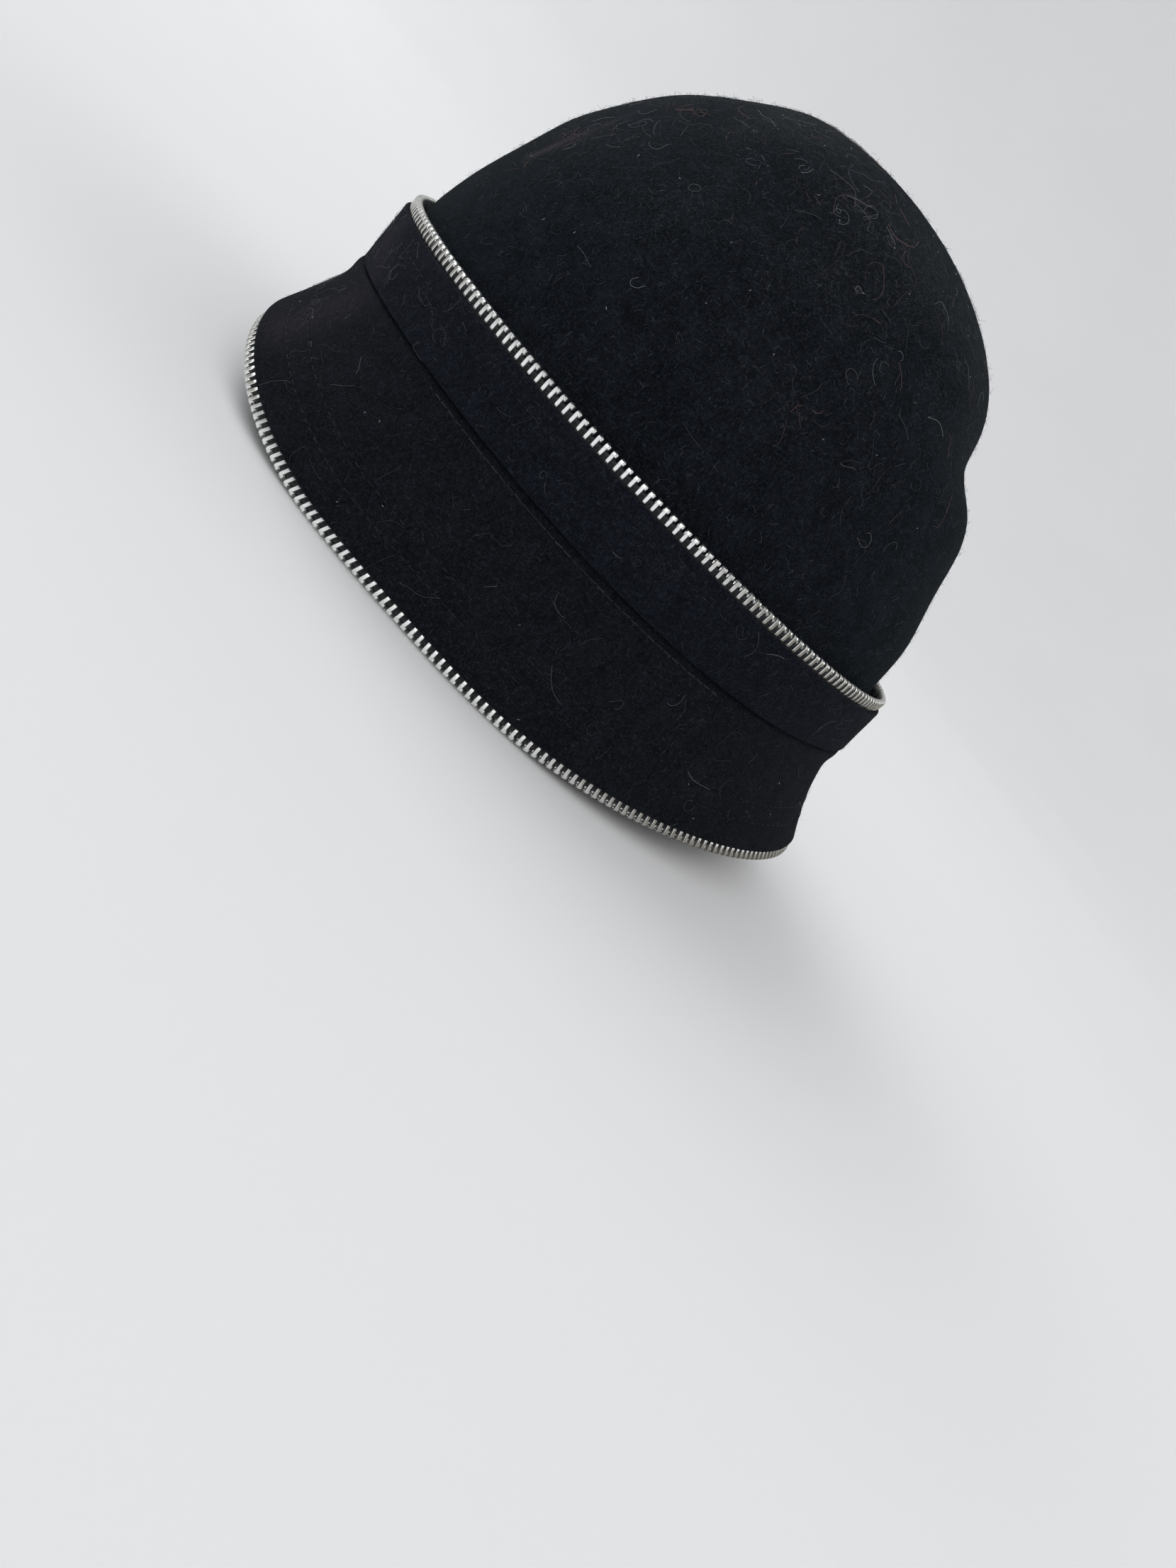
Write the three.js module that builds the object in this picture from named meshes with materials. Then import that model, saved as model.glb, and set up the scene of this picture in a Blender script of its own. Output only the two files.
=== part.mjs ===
// Cloche hat of black felt with zip trim.
// Sizes in millimetres: X across the head, -Y the face side, +Z up, the rim resting on Z = 0.
import * as THREE from 'three';

// Driving sizes
const HALF_LENGTH = 102;
const HALF_WIDTH = 85;
const CROWN_RISE = 94.9;
const CROWN_EGG = 0.05;
const CROWN_EGG_FULL_AT = 5;
const CROWN_TOP_SHIFT = -5.4;
const FELT = 2.0;
const BAND_FELT = 1.6;
const CLEARANCE = 0.3;

// Zip chain
const TAPE_THICK = 0.5;
const BAND_TAPE_SHARE = 0.5;
const RIM_TAPE_SHARE = 0.24;
const TOOTH_THICK = 2.4;
const TOOTH_BELOW = 1.8;
const TOOTH_ABOVE = 1.95;
const TOOTH_EDGE = 0.4;

// Plan ovals: front and back reach in shares of HALF_LENGTH, side reach in shares of HALF_WIDTH
const ZIP_RING = { front: 0.985, back: 1.000, side: 1.000, egg: -0.018 };
const BAND_FOOT = { front: 0.991, back: 1.024, side: 1.013, egg: -0.018 };
const RIM = { front: 1.025, back: 1.135, side: 1.061, egg: -0.031, frontPower: 2.69, backPower: 1.88 };

// Band: heights of its edges from the zip, and how far its outside stands out from the teeth's;
// the rise of a wave is in shares of HALF_LENGTH
const BAND_TOP = -TOOTH_BELOW - 0.1;
const BAND_STAND_OFF = 0.9;
const BAND_FOOT_HEIGHT = -19.5;
const BAND_FOOT_WAVES = [
  { turns: 1, shift: Math.PI / 2, rise: 0.0075 },
  { turns: 2, shift: 0, rise: -0.0095 },
  { turns: 3, shift: Math.PI / 2, rise: -0.0102 },
];

// Collar of the brim inside the band
const COLLAR_ABOVE_FOOT = 0.2;
const COLLAR_LAP = 5.0;
const CROWN_FOOT_ABOVE_COLLAR = 0.6;
const CROWN_NEST_GAP = 0.5;

// Rim: the line of the lower teeth, measured from the zip ring on the band, its waves and two kicks
// near the front; rise, out and up are in shares of HALF_LENGTH
const RIM_SHIFT = 0.3;
const RIM_HEIGHT = -56.4;
const RIM_WAVES = [
  { turns: 1, shift: Math.PI / 2, rise: -0.0349 },
  { turns: 2, shift: 0, rise: -0.0843 },
  { turns: 3, shift: Math.PI / 2, rise: 0.0017 },
  { turns: 4, shift: 0, rise: 0.0032 },
];
const RIM_KICKS = [
  { at: -1.79, spread: 0.40, out: -0.0147, up: -0.0176 },
  { at: -2.25, spread: 0.22, out: 0.0127, up: 0.0225 },
];

// Brim: its felt edge from the teeth's line, where it leaves the band, and how late it flares
const RIM_FELT_ABOVE = 1.5;
const RIM_FELT_OUT = 1.9;
const BRIM_TURN = 0.16;
const FLARE = { front: 1.14, back: 1.55, side: 1.20 };

// How the hat stands
const REST_TILT = -0.032;
const SETTLE = 1.2;
const SETTLE_BLEND = 0.6;
const FLAT_BELOW = 0.65;
const TOOTH_DROP = 0.55;
const CENTRE_SHIFT = -8.4;

// Facets
const AROUND = 76;
const CROWN_LEVELS = 20;
const CROWN_LINING_LEVELS = 12;
const BRIM_LEVELS = 7;
const BAND_LEVELS = 3;

// Crown sections from the joint to the top: rise in shares of CROWN_RISE,
// front and back reach in shares of HALF_LENGTH, side reach in shares of HALF_WIDTH
const CROWN_SECTIONS = [
  { rise: 0.000, front: 0.940, back: 0.948, side: 0.936 },
  { rise: 0.168, front: 0.903, back: 0.925, side: 0.913 },
  { rise: 0.335, front: 0.843, back: 0.866, side: 0.874 },
  { rise: 0.482, front: 0.786, back: 0.816, side: 0.828 },
  { rise: 0.607, front: 0.714, back: 0.754, side: 0.755 },
  { rise: 0.723, front: 0.630, back: 0.676, side: 0.667 },
  { rise: 0.817, front: 0.524, back: 0.576, side: 0.600 },
  { rise: 0.900, front: 0.405, back: 0.462, side: 0.489 },
  { rise: 0.959, front: 0.302, back: 0.331, side: 0.358 },
  { rise: 0.989, front: 0.177, back: 0.179, side: 0.203 },
  { rise: 1.000, front: 0.000, back: 0.000, side: 0.000 },
];

// Dents pressed into the crown: centre and spread across in shares of HALF_WIDTH, along in shares
// of HALF_LENGTH and up in shares of CROWN_RISE; depth in shares of CROWN_RISE
const CROWN_DENTS = [
  { x: 0, y: 0.765, z: 0.685, spreadX: 0.612, spreadY: 0.294, spreadZ: 0.100, depth: 0.0738 },
  { x: 0.224, y: -0.647, z: 0.780, spreadX: 0.094, spreadY: 0.255, spreadZ: 0.274, depth: 0.0105 },
];

const BACK = Math.PI / 2;

function lerp(a, b, share) {
  return a + (b - a) * share;
}

function waves(list, angle) {
  const sum = list.reduce((rise, wave) => rise + wave.rise * Math.cos(wave.turns * angle - wave.shift), 0);
  return sum * HALF_LENGTH;
}

function power(value, exponent) {
  return Math.sign(value) * Math.abs(value) ** exponent;
}

// Oval in plan, grown outward by out: angle 0 is the wearer's left side, a quarter turn on the back
function oval(angle, size, out) {
  const along = Math.sin(angle);
  const exponent = 2 / ((along < 0 ? size.frontPower : size.backPower) ?? 2);
  const reach = (along < 0 ? size.front : size.back) * HALF_LENGTH + out;
  const x = (size.side * HALF_WIDTH + out) * power(Math.cos(angle), exponent) * (1 + size.egg * along);
  return [x, reach * power(along, exponent)];
}

function between(a, b, share) {
  const size = {};
  for (const name of ['front', 'back', 'side', 'egg']) {
    size[name] = lerp(a[name], b[name], share);
  }
  return size;
}

// The zip ring lies level in the hat's own frame; the standing hat leans forward by REST_TILT
function lean(point) {
  const [x, y, z] = point;
  const c = Math.cos(REST_TILT);
  const s = Math.sin(REST_TILT);
  return [x, y * c + z * s, -y * s + z * c];
}

function rimLine(angle, out) {
  const [x, y] = oval(angle, RIM, out);
  const point = [x, y + RIM_SHIFT, RIM_HEIGHT + waves(RIM_WAVES, angle)];
  for (const kick of RIM_KICKS) {
    const off = Math.atan2(Math.sin(angle - kick.at), Math.cos(angle - kick.at));
    const share = HALF_LENGTH * Math.exp(-((off / kick.spread) ** 2));
    point[1] -= kick.out * share;
    point[2] += kick.up * share;
  }
  return lean(point);
}

function lowestRim() {
  let low = Infinity;
  for (let i = 0; i < 720; i += 1) {
    low = Math.min(low, rimLine((i / 720) * 2 * Math.PI, 0)[2]);
  }
  return low;
}

// Height that brings the settled rim's teeth down to the floor
const REST_LEVEL = lowestRim() + SETTLE;
const LIFT = TOOTH_ABOVE + TOOTH_DROP - REST_LEVEL;

function smoothMax(a, b, blend) {
  return Math.max(a, b) + Math.max(blend - Math.abs(a - b), 0) ** 2 / (4 * blend);
}

function stand(point) {
  const [x, y, z] = lean(point);
  return [x, y + CENTRE_SHIFT, z + LIFT];
}

function rimPoint(angle) {
  const [x, y, z] = rimLine(angle, RIM_FELT_OUT);
  return [x, y + CENTRE_SHIFT, smoothMax(z, REST_LEVEL, SETTLE_BLEND) + LIFT];
}

function smoothRow(rows, position, column) {
  const last = rows.length - 1;
  const cell = Math.min(Math.floor(position), last - 1);
  const u = position - cell;
  const value = (i) => {
    if (i < 0) {
      return 2 * rows[0][column] - rows[1][column];
    }
    if (i > last) {
      return column === 'rise' ? rows[last - 1].rise : -rows[last - 1][column];
    }
    return rows[i][column];
  };
  const [a, b, c, d] = [value(cell - 1), value(cell), value(cell + 1), value(cell + 2)];
  return b + 0.5 * u * (c - a + u * (2 * a - 5 * b + 4 * c - d + u * (3 * (b - c) + d - a)));
}

// Band: level 0 is its top edge, 1 its foot
function bandAt(level, angle, inset) {
  const size = between(ZIP_RING, BAND_FOOT, level);
  const [x, y] = oval(angle, size, lerp(BAND_STAND_OFF, 0, level) - inset);
  return [x, y, lerp(BAND_TOP, bandFoot(angle), level)];
}

function bandFoot(angle) {
  return BAND_FOOT_HEIGHT + waves(BAND_FOOT_WAVES, angle);
}

// Outside of the brim's collar, this far above where it leaves the band
function collarRing(angle, above) {
  const foot = bandFoot(angle);
  const height = foot + COLLAR_ABOVE_FOOT + above;
  return bandAt((BAND_TOP - height) / (BAND_TOP - foot), angle, BAND_FELT + CLEARANCE);
}

// Crown rows: the table, with the foot row that nests inside the collar put first
function crownRows() {
  const inset = FELT + CROWN_NEST_GAP;
  const foot = {
    front: (-collarRing(-BACK, 0)[1] - inset) / HALF_LENGTH,
    back: (collarRing(BACK, 0)[1] - inset) / HALF_LENGTH,
    side: (collarRing(0, 0)[0] - inset) / HALF_WIDTH,
    rise: (BAND_FOOT_HEIGHT + COLLAR_ABOVE_FOOT + CROWN_FOOT_ABOVE_COLLAR) / CROWN_RISE,
  };
  return [foot, ...CROWN_SECTIONS];
}

const CROWN_ROWS = crownRows();

function crownBase(level, angle) {
  const position = level * (CROWN_ROWS.length - 1);
  const egg = lerp(BAND_FOOT.egg, CROWN_EGG, Math.min(Math.max(position - 1, 0) / CROWN_EGG_FULL_AT, 1));
  const size = {
    front: smoothRow(CROWN_ROWS, position, 'front'),
    back: smoothRow(CROWN_ROWS, position, 'back'),
    side: smoothRow(CROWN_ROWS, position, 'side'),
    egg,
  };
  const [x, y] = oval(angle, size, 0);
  const z = smoothRow(CROWN_ROWS, position, 'rise') * CROWN_RISE;
  return [x, y + CROWN_TOP_SHIFT * level * Math.min(position, 1), z];
}

function normalOf(surface, level, angle) {
  const step = 1e-3;
  const low = Math.max(level - step, 0);
  const high = Math.min(level + step, 1);
  const up = new THREE.Vector3(...surface(high, angle)).sub(new THREE.Vector3(...surface(low, angle)));
  const round = new THREE.Vector3(...surface(level, angle + step));
  round.sub(new THREE.Vector3(...surface(level, angle - step)));
  return round.cross(up).normalize();
}

function crownOutside(level, angle) {
  const top = level > 0.998;
  const base = crownBase(level, angle);
  const normal = top ? new THREE.Vector3(0, 0, 1) : normalOf(crownBase, level, angle);
  const dip = CROWN_DENTS.reduce((sum, dent) => {
    const far = ((base[0] / HALF_WIDTH - dent.x) / dent.spreadX) ** 2
      + ((base[1] / HALF_LENGTH - dent.y) / dent.spreadY) ** 2
      + ((base[2] / CROWN_RISE - dent.z) / dent.spreadZ) ** 2;
    return sum + dent.depth * CROWN_RISE * Math.exp(-far);
  }, 0);
  return [base[0] - normal.x * dip, base[1] - normal.y * dip, base[2] - normal.z * dip];
}

function crownInside(level, angle) {
  const outside = crownOutside(level, angle);
  const top = level > 0.998;
  const normal = top ? new THREE.Vector3(0, 0, 1) : normalOf(crownOutside, level, angle);
  if (level < 1e-6) {
    normal.z = 0;
    normal.normalize();
  }
  return outside.map((value, i) => value - FELT * normal.getComponent(i));
}

// Brim outside: level 0 is the collar's upper edge, BRIM_TURN where it leaves the band, 1 the rim
function brimOutside(level, angle) {
  if (level < BRIM_TURN) {
    return stand(collarRing(angle, COLLAR_LAP * (1 - level / BRIM_TURN)));
  }
  const share = (level - BRIM_TURN) / (1 - BRIM_TURN);
  const start = stand(collarRing(angle, 0));
  const rim = rimPoint(angle);
  const along = Math.sin(angle) ** 2;
  const flare = lerp(FLARE.side, Math.sin(angle) < 0 ? FLARE.front : FLARE.back, along);
  const reach = share ** flare;
  return [
    lerp(start[0], rim[0], reach),
    lerp(start[1], rim[1], reach),
    lerp(start[2], rim[2] + RIM_FELT_ABOVE, share),
  ];
}

// Unit vectors of the brim at an angle: out of its face, and down along it
function brimFrame(level, angle) {
  const upward = (share, around) => brimOutside(1 - share, around);
  const out = normalOf(upward, 1 - level, angle);
  const step = 0.01;
  const here = new THREE.Vector3(...brimOutside(level, angle));
  const above = new THREE.Vector3(...brimOutside(level - step, angle));
  return { out, along: here.sub(above).normalize() };
}

function brimInside(level, angle) {
  const outside = brimOutside(level, angle);
  const { out } = brimFrame(Math.max(level, 0.02), angle);
  return outside.map((value, i) => value - FELT * out.getComponent(i));
}

// A ring with the same closed section all the way round: section(angle) gives its points in order,
// going down the outside and up the inside
function ringBody(section) {
  const count = section(0).length;
  const positions = [];
  const index = [];
  for (let i = 0; i < AROUND; i += 1) {
    const points = section((i / AROUND) * 2 * Math.PI);
    points.forEach((point) => positions.push(...point));
  }
  for (let i = 0; i < AROUND; i += 1) {
    const next = (i + 1) % AROUND;
    for (let k = 0; k < count; k += 1) {
      const up = (k + 1) % count;
      const [a, b, c, d] = [i * count + k, next * count + k, next * count + up, i * count + up];
      index.push(a, c, b, a, d, c);
    }
  }
  return bodyFrom(positions, index);
}

function bodyFrom(positions, index) {
  const geometry = new THREE.BufferGeometry();
  geometry.setAttribute('position', new THREE.Float32BufferAttribute(positions, 3));
  geometry.setIndex(index);
  geometry.computeVertexNormals();
  return geometry;
}

// A dome with a wall: outer rows from the foot to the top, then inner rows back down
function domeBody(outer, outerLevels, inner, innerLevels) {
  const positions = [];
  const rows = [];
  for (let k = 0; k < outerLevels; k += 1) {
    rows.push((angle) => outer(k / outerLevels, angle));
  }
  const top = rows.length;
  for (let k = innerLevels - 1; k >= 0; k -= 1) {
    rows.push((angle) => inner(k / innerLevels, angle));
  }
  for (const row of rows) {
    for (let i = 0; i < AROUND; i += 1) {
      positions.push(...stand(row((i / AROUND) * 2 * Math.PI)));
    }
  }
  const outerPole = positions.length / 3;
  positions.push(...stand(outer(1, 0)));
  const innerPole = outerPole + 1;
  positions.push(...stand(inner(1, 0)));
  const index = [];
  for (let k = 0; k < rows.length; k += 1) {
    const above = (k + 1) % rows.length;
    for (let i = 0; i < AROUND; i += 1) {
      const next = (i + 1) % AROUND;
      const [a, b] = [k * AROUND + i, k * AROUND + next];
      if (k === top - 1) {
        index.push(a, b, outerPole);
        const [c, d] = [above * AROUND + i, above * AROUND + next];
        index.push(c, innerPole, d);
      } else {
        const [c, d] = [above * AROUND + next, above * AROUND + i];
        index.push(a, b, c, a, c, d);
      }
    }
  }
  return bodyFrom(positions, index);
}

function brimSection(angle) {
  const points = [];
  for (let k = 0; k <= BRIM_LEVELS; k += 1) {
    points.push(brimOutside(brimLevel(k), angle));
  }
  for (let k = BRIM_LEVELS; k >= 0; k -= 1) {
    points.push(brimInside(brimLevel(k), angle));
  }
  return points;
}

// Two rows for the collar, the rest spread evenly down the skirt
function brimLevel(k) {
  return k === 0 ? 0 : lerp(BRIM_TURN, 1, (k - 1) / (BRIM_LEVELS - 1));
}

function bandSection(angle) {
  const points = [];
  for (let k = 0; k <= BAND_LEVELS; k += 1) {
    points.push(stand(bandAt(k / BAND_LEVELS, angle, 0)));
  }
  for (let k = BAND_LEVELS; k >= 0; k -= 1) {
    points.push(stand(bandAt(k / BAND_LEVELS, angle, BAND_FELT)));
  }
  return points;
}

// Band zip: the tape lies inside the band's felt and the teeth stand on its top edge
function bandTapeSection(angle) {
  const near = BAND_FELT + CLEARANCE;
  const far = near + TAPE_THICK;
  return [
    stand(bandAt(0, angle, near)),
    stand(bandAt(BAND_TAPE_SHARE, angle, near)),
    stand(bandAt(BAND_TAPE_SHARE, angle, far)),
    stand(bandAt(0, angle, far)),
  ];
}

function bandTeethSection(angle) {
  const middle = BAND_FELT + CLEARANCE + TAPE_THICK / 2 - BAND_STAND_OFF;
  const ring = (out, height) => {
    const [x, y] = oval(angle, ZIP_RING, out - middle);
    return stand([x, y, height]);
  };
  const half = TOOTH_THICK / 2;
  return [
    ring(half - TOOTH_EDGE, TOOTH_ABOVE),
    ring(half, TOOTH_ABOVE - TOOTH_EDGE),
    ring(half, CLEARANCE - TOOTH_BELOW),
    ring(-half, CLEARANCE - TOOTH_BELOW),
    ring(-half, TOOTH_ABOVE - TOOTH_EDGE),
    ring(TOOTH_EDGE - half, TOOTH_ABOVE),
  ];
}

// Rim zip: points set off from the brim's edge, out of its face and down along it
function offRim(angle, out, down) {
  const frame = brimFrame(1, angle);
  const edge = brimOutside(1, angle);
  return edge.map((value, i) => value + out * frame.out.getComponent(i) + down * frame.along.getComponent(i));
}

function rimTapeSection(angle) {
  const near = -FELT - CLEARANCE;
  const far = near - TAPE_THICK;
  const level = 1 - RIM_TAPE_SHARE;
  const frame = brimFrame(level, angle);
  const top = brimOutside(level, angle);
  const offTop = (out) => top.map((value, i) => value + out * frame.out.getComponent(i));
  return [
    offTop(near),
    offRim(angle, near, -CLEARANCE),
    offRim(angle, far, -CLEARANCE),
    offTop(far),
  ];
}

// Lowest height allowed for each corner of the rim teeth where they rest: the tips lie flat
const FLOOR = [FLAT_BELOW, FLAT_BELOW, 0, 0, FLAT_BELOW, FLAT_BELOW];

function rimTeethSection(angle) {
  const middle = -FELT - CLEARANCE - TAPE_THICK / 2;
  const half = TOOTH_THICK / 2;
  const long = TOOTH_ABOVE + TOOTH_BELOW - CLEARANCE;
  const corners = [
    offRim(angle, middle + half, CLEARANCE),
    offRim(angle, middle + half, long - TOOTH_EDGE),
    offRim(angle, middle + half - TOOTH_EDGE, long),
    offRim(angle, middle - half + TOOTH_EDGE, long),
    offRim(angle, middle - half, long - TOOTH_EDGE),
    offRim(angle, middle - half, CLEARANCE),
  ];
  return corners.map(([x, y, z], i) => [x, y, z < FLAT_BELOW ? FLOOR[i] : z]);
}

// Colours and finishes
const felt = () => new THREE.MeshStandardMaterial({ color: 0x0b0c11, roughness: 0.95 });
const tape = () => new THREE.MeshStandardMaterial({ color: 0x08090b, roughness: 0.85 });
const metal = () => new THREE.MeshStandardMaterial({ color: 0xb9b7b0, roughness: 0.3, metalness: 1 });

const pieces = [
  ['crown', domeBody(crownOutside, CROWN_LEVELS, crownInside, CROWN_LINING_LEVELS), felt()],
  ['brim', ringBody(brimSection), felt()],
  ['band', ringBody(bandSection), felt()],
  ['band_zip_tape', ringBody(bandTapeSection), tape()],
  ['band_zip_teeth', ringBody(bandTeethSection), metal()],
  ['rim_zip_tape', ringBody(rimTapeSection), tape()],
  ['rim_zip_teeth', ringBody(rimTeethSection), metal()],
];

const group = new THREE.Group();
group.name = 'cloche_hat';
for (const [name, geometry, material] of pieces) {
  const mesh = new THREE.Mesh(geometry, material);
  mesh.name = name;
  group.add(mesh);
}

export default group;
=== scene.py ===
import math

import bmesh
import bpy
import numpy as np
from mathutils import Matrix, Vector, noise


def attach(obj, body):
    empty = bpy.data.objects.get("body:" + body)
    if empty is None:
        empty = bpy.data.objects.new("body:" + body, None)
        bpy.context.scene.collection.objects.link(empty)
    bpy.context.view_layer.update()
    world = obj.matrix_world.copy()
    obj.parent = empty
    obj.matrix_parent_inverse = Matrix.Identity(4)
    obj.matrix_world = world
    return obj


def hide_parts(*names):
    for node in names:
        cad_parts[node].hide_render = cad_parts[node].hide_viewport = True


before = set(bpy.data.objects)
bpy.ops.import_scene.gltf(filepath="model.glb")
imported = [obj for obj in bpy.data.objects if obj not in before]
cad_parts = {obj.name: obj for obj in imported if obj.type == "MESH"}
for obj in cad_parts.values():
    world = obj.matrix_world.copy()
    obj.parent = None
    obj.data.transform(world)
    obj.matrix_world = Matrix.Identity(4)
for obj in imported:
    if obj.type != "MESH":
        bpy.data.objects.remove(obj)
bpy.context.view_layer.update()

MM = 0.001
TURN = 2 * math.pi
FRONT = -math.pi / 2
BACK = math.pi / 2

# Sizes shared with the frame
HALF_LENGTH = 102
HALF_WIDTH = 85
CROWN_RISE = 94.9
CROWN_EGG = 0.05
CROWN_EGG_FULL_AT = 5
CROWN_TOP_SHIFT = -5.4
FELT = 2.0
BAND_FELT = 1.6
CLEARANCE = 0.3

TAPE_THICK = 0.5
BAND_TAPE_SHARE = 0.5
RIM_TAPE_SHARE = 0.24
TOOTH_BELOW = 1.8
TOOTH_ABOVE = 1.95
TOOTH_PITCH = 2.54

ZIP_RING = dict(front=0.985, back=1.000, side=1.000, egg=-0.018)
BAND_FOOT = dict(front=0.991, back=1.024, side=1.013, egg=-0.018)
RIM = dict(front=1.025, back=1.135, side=1.061, egg=-0.031, front_power=2.69, back_power=1.88)

BAND_TOP = -TOOTH_BELOW - 0.1
BAND_STAND_OFF = 0.9
BAND_FOOT_HEIGHT = -19.5
# Waves of a height round the hat: turns, shift and rise, a share of the half length
BAND_FOOT_WAVES = [(1, BACK, 0.0075), (2, 0, -0.0095), (3, BACK, -0.0102)]

COLLAR_ABOVE_FOOT = 0.2
COLLAR_LAP = 5.0
CROWN_FOOT_ABOVE_COLLAR = 0.6
CROWN_NEST_GAP = 0.5

RIM_SHIFT = 0.3
RIM_HEIGHT = -56.4
RIM_WAVES = [(1, BACK, -0.0349), (2, 0, -0.0843), (3, BACK, 0.0017), (4, 0, 0.0032)]
# Bends of the rim's front corners: angle, spread, forward and up, shares of the half length
RIM_KICKS = [(-1.79, 0.40, -0.0147, -0.0176), (-2.25, 0.22, 0.0127, 0.0225)]

RIM_FELT_ABOVE = 1.5
RIM_FELT_OUT = 1.9
BRIM_TURN = 0.16
FLARE = dict(front=1.14, back=1.55, side=1.20)

REST_TILT = -0.032
SETTLE = 1.2
SETTLE_BLEND = 0.6
TOOTH_DROP = 0.55
CENTRE_SHIFT = -8.4

# rise, front reach, back reach, side reach
CROWN_SECTIONS = [
    (0.000, 0.940, 0.948, 0.936),
    (0.168, 0.903, 0.925, 0.913),
    (0.335, 0.843, 0.866, 0.874),
    (0.482, 0.786, 0.816, 0.828),
    (0.607, 0.714, 0.754, 0.755),
    (0.723, 0.630, 0.676, 0.667),
    (0.817, 0.524, 0.576, 0.600),
    (0.900, 0.405, 0.462, 0.489),
    (0.959, 0.302, 0.331, 0.358),
    (0.989, 0.177, 0.179, 0.203),
    (1.000, 0.000, 0.000, 0.000),
]

# centre x, y, z, spread x, y, z and depth, in shares of the half width, half length and crown rise
CROWN_DENTS = [
    (0, 0.765, 0.685, 0.612, 0.294, 0.100, 0.0738),
    (0.224, -0.647, 0.780, 0.094, 0.255, 0.274, 0.0105),
]


# Shape functions, in millimetres
def lerp(a, b, share):
    return a + (b - a) * share


def full_turn(count):
    """Evenly spaced angles once round the hat."""
    return np.arange(count) / count * TURN


def waves(table, angle):
    return HALF_LENGTH * sum(rise * np.cos(turns * angle - shift) for turns, shift, rise in table)


def signed_power(value, exponent):
    return np.sign(value) * np.abs(value) ** exponent


def oval(angle, size, out):
    along = np.sin(angle)
    ahead = along < 0
    exponent = 2 / np.where(ahead, size.get("front_power", 2), size.get("back_power", 2))
    reach = np.where(ahead, size["front"], size["back"]) * HALF_LENGTH + out
    half = size["side"] * HALF_WIDTH + out
    x = half * signed_power(np.cos(angle), exponent) * (1 + size["egg"] * along)
    return x, reach * signed_power(along, exponent)


def points(x, y, z):
    return np.stack(np.broadcast_arrays(x, y, z), -1).astype(float)


def lean(p):
    c, s = math.cos(REST_TILT), math.sin(REST_TILT)
    return points(p[..., 0], p[..., 1] * c + p[..., 2] * s, -p[..., 1] * s + p[..., 2] * c)


def rim_line(angle, out):
    x, y = oval(angle, RIM, out)
    y = y + RIM_SHIFT
    z = RIM_HEIGHT + waves(RIM_WAVES, angle)
    for at, spread, forward, up in RIM_KICKS:
        off = np.arctan2(np.sin(angle - at), np.cos(angle - at))
        share = HALF_LENGTH * np.exp(-((off / spread) ** 2))
        y = y - forward * share
        z = z + up * share
    return lean(points(x, y, z))


REST_LEVEL = rim_line(full_turn(720), 0)[:, 2].min() + SETTLE
LIFT = TOOTH_ABOVE + TOOTH_DROP - REST_LEVEL


def stand(p):
    return lean(p) + (0, CENTRE_SHIFT, LIFT)


def smooth_max(a, b, blend):
    return np.maximum(a, b) + np.maximum(blend - np.abs(a - b), 0) ** 2 / (4 * blend)


def rim_point(angle):
    p = rim_line(angle, RIM_FELT_OUT)
    settled = smooth_max(p[..., 2], REST_LEVEL, SETTLE_BLEND)
    return points(p[..., 0], p[..., 1] + CENTRE_SHIFT, settled + LIFT)


def band_foot(angle):
    return BAND_FOOT_HEIGHT + waves(BAND_FOOT_WAVES, angle)


def band_at(level, angle, inset):
    size = {key: lerp(ZIP_RING[key], BAND_FOOT[key], level) for key in ZIP_RING}
    x, y = oval(angle, size, lerp(BAND_STAND_OFF, 0, level) - inset)
    return points(x, y, lerp(BAND_TOP, band_foot(angle), level))


def collar_ring(angle, above):
    foot = band_foot(angle)
    height = foot + COLLAR_ABOVE_FOOT + above
    return band_at((BAND_TOP - height) / (BAND_TOP - foot), angle, BAND_FELT + CLEARANCE)


def crown_rows():
    inset = FELT + CROWN_NEST_GAP
    reach = [-collar_ring(FRONT, 0)[1], collar_ring(BACK, 0)[1], collar_ring(0, 0)[0]]
    foot = (
        (BAND_FOOT_HEIGHT + COLLAR_ABOVE_FOOT + CROWN_FOOT_ABOVE_COLLAR) / CROWN_RISE,
        (reach[0] - inset) / HALF_LENGTH,
        (reach[1] - inset) / HALF_LENGTH,
        (reach[2] - inset) / HALF_WIDTH,
    )
    table = np.array([foot, *CROWN_SECTIONS])
    first = 2 * table[0] - table[1]
    beyond = -table[-2]
    beyond[0] = table[-2][0]
    return np.vstack([first, table, beyond])


CROWN_ROWS = crown_rows()
NEAR_TOP = 0.998
CROWN_LAST = len(CROWN_ROWS) - 3


def smooth_row(position, column):
    cell = np.minimum(np.floor(position).astype(int), CROWN_LAST - 1)
    u = position - cell
    a, b, c, d = (CROWN_ROWS[cell + k, column] for k in range(4))
    return b + 0.5 * u * (c - a + u * (2 * a - 5 * b + 4 * c - d + u * (3 * (b - c) + d - a)))


def crown_base(level, angle):
    position = level * CROWN_LAST
    egg = lerp(BAND_FOOT["egg"], CROWN_EGG, np.clip((position - 1) / CROWN_EGG_FULL_AT, 0, 1))
    rise, front, back, side = (smooth_row(position, column) for column in range(4))
    x, y = oval(angle, dict(front=front, back=back, side=side, egg=egg), 0)
    return points(x, y + CROWN_TOP_SHIFT * level * np.minimum(position, 1), rise * CROWN_RISE)


def unit(v):
    return v / np.maximum(np.linalg.norm(v, axis=-1, keepdims=True), 1e-12)


def normal_of(surface, level, angle):
    step = 1e-3
    up = surface(np.minimum(level + step, 1), angle) - surface(np.maximum(level - step, 0), angle)
    round_ = surface(level, angle + step) - surface(level, angle - step)
    return unit(np.cross(round_, up))


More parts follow.
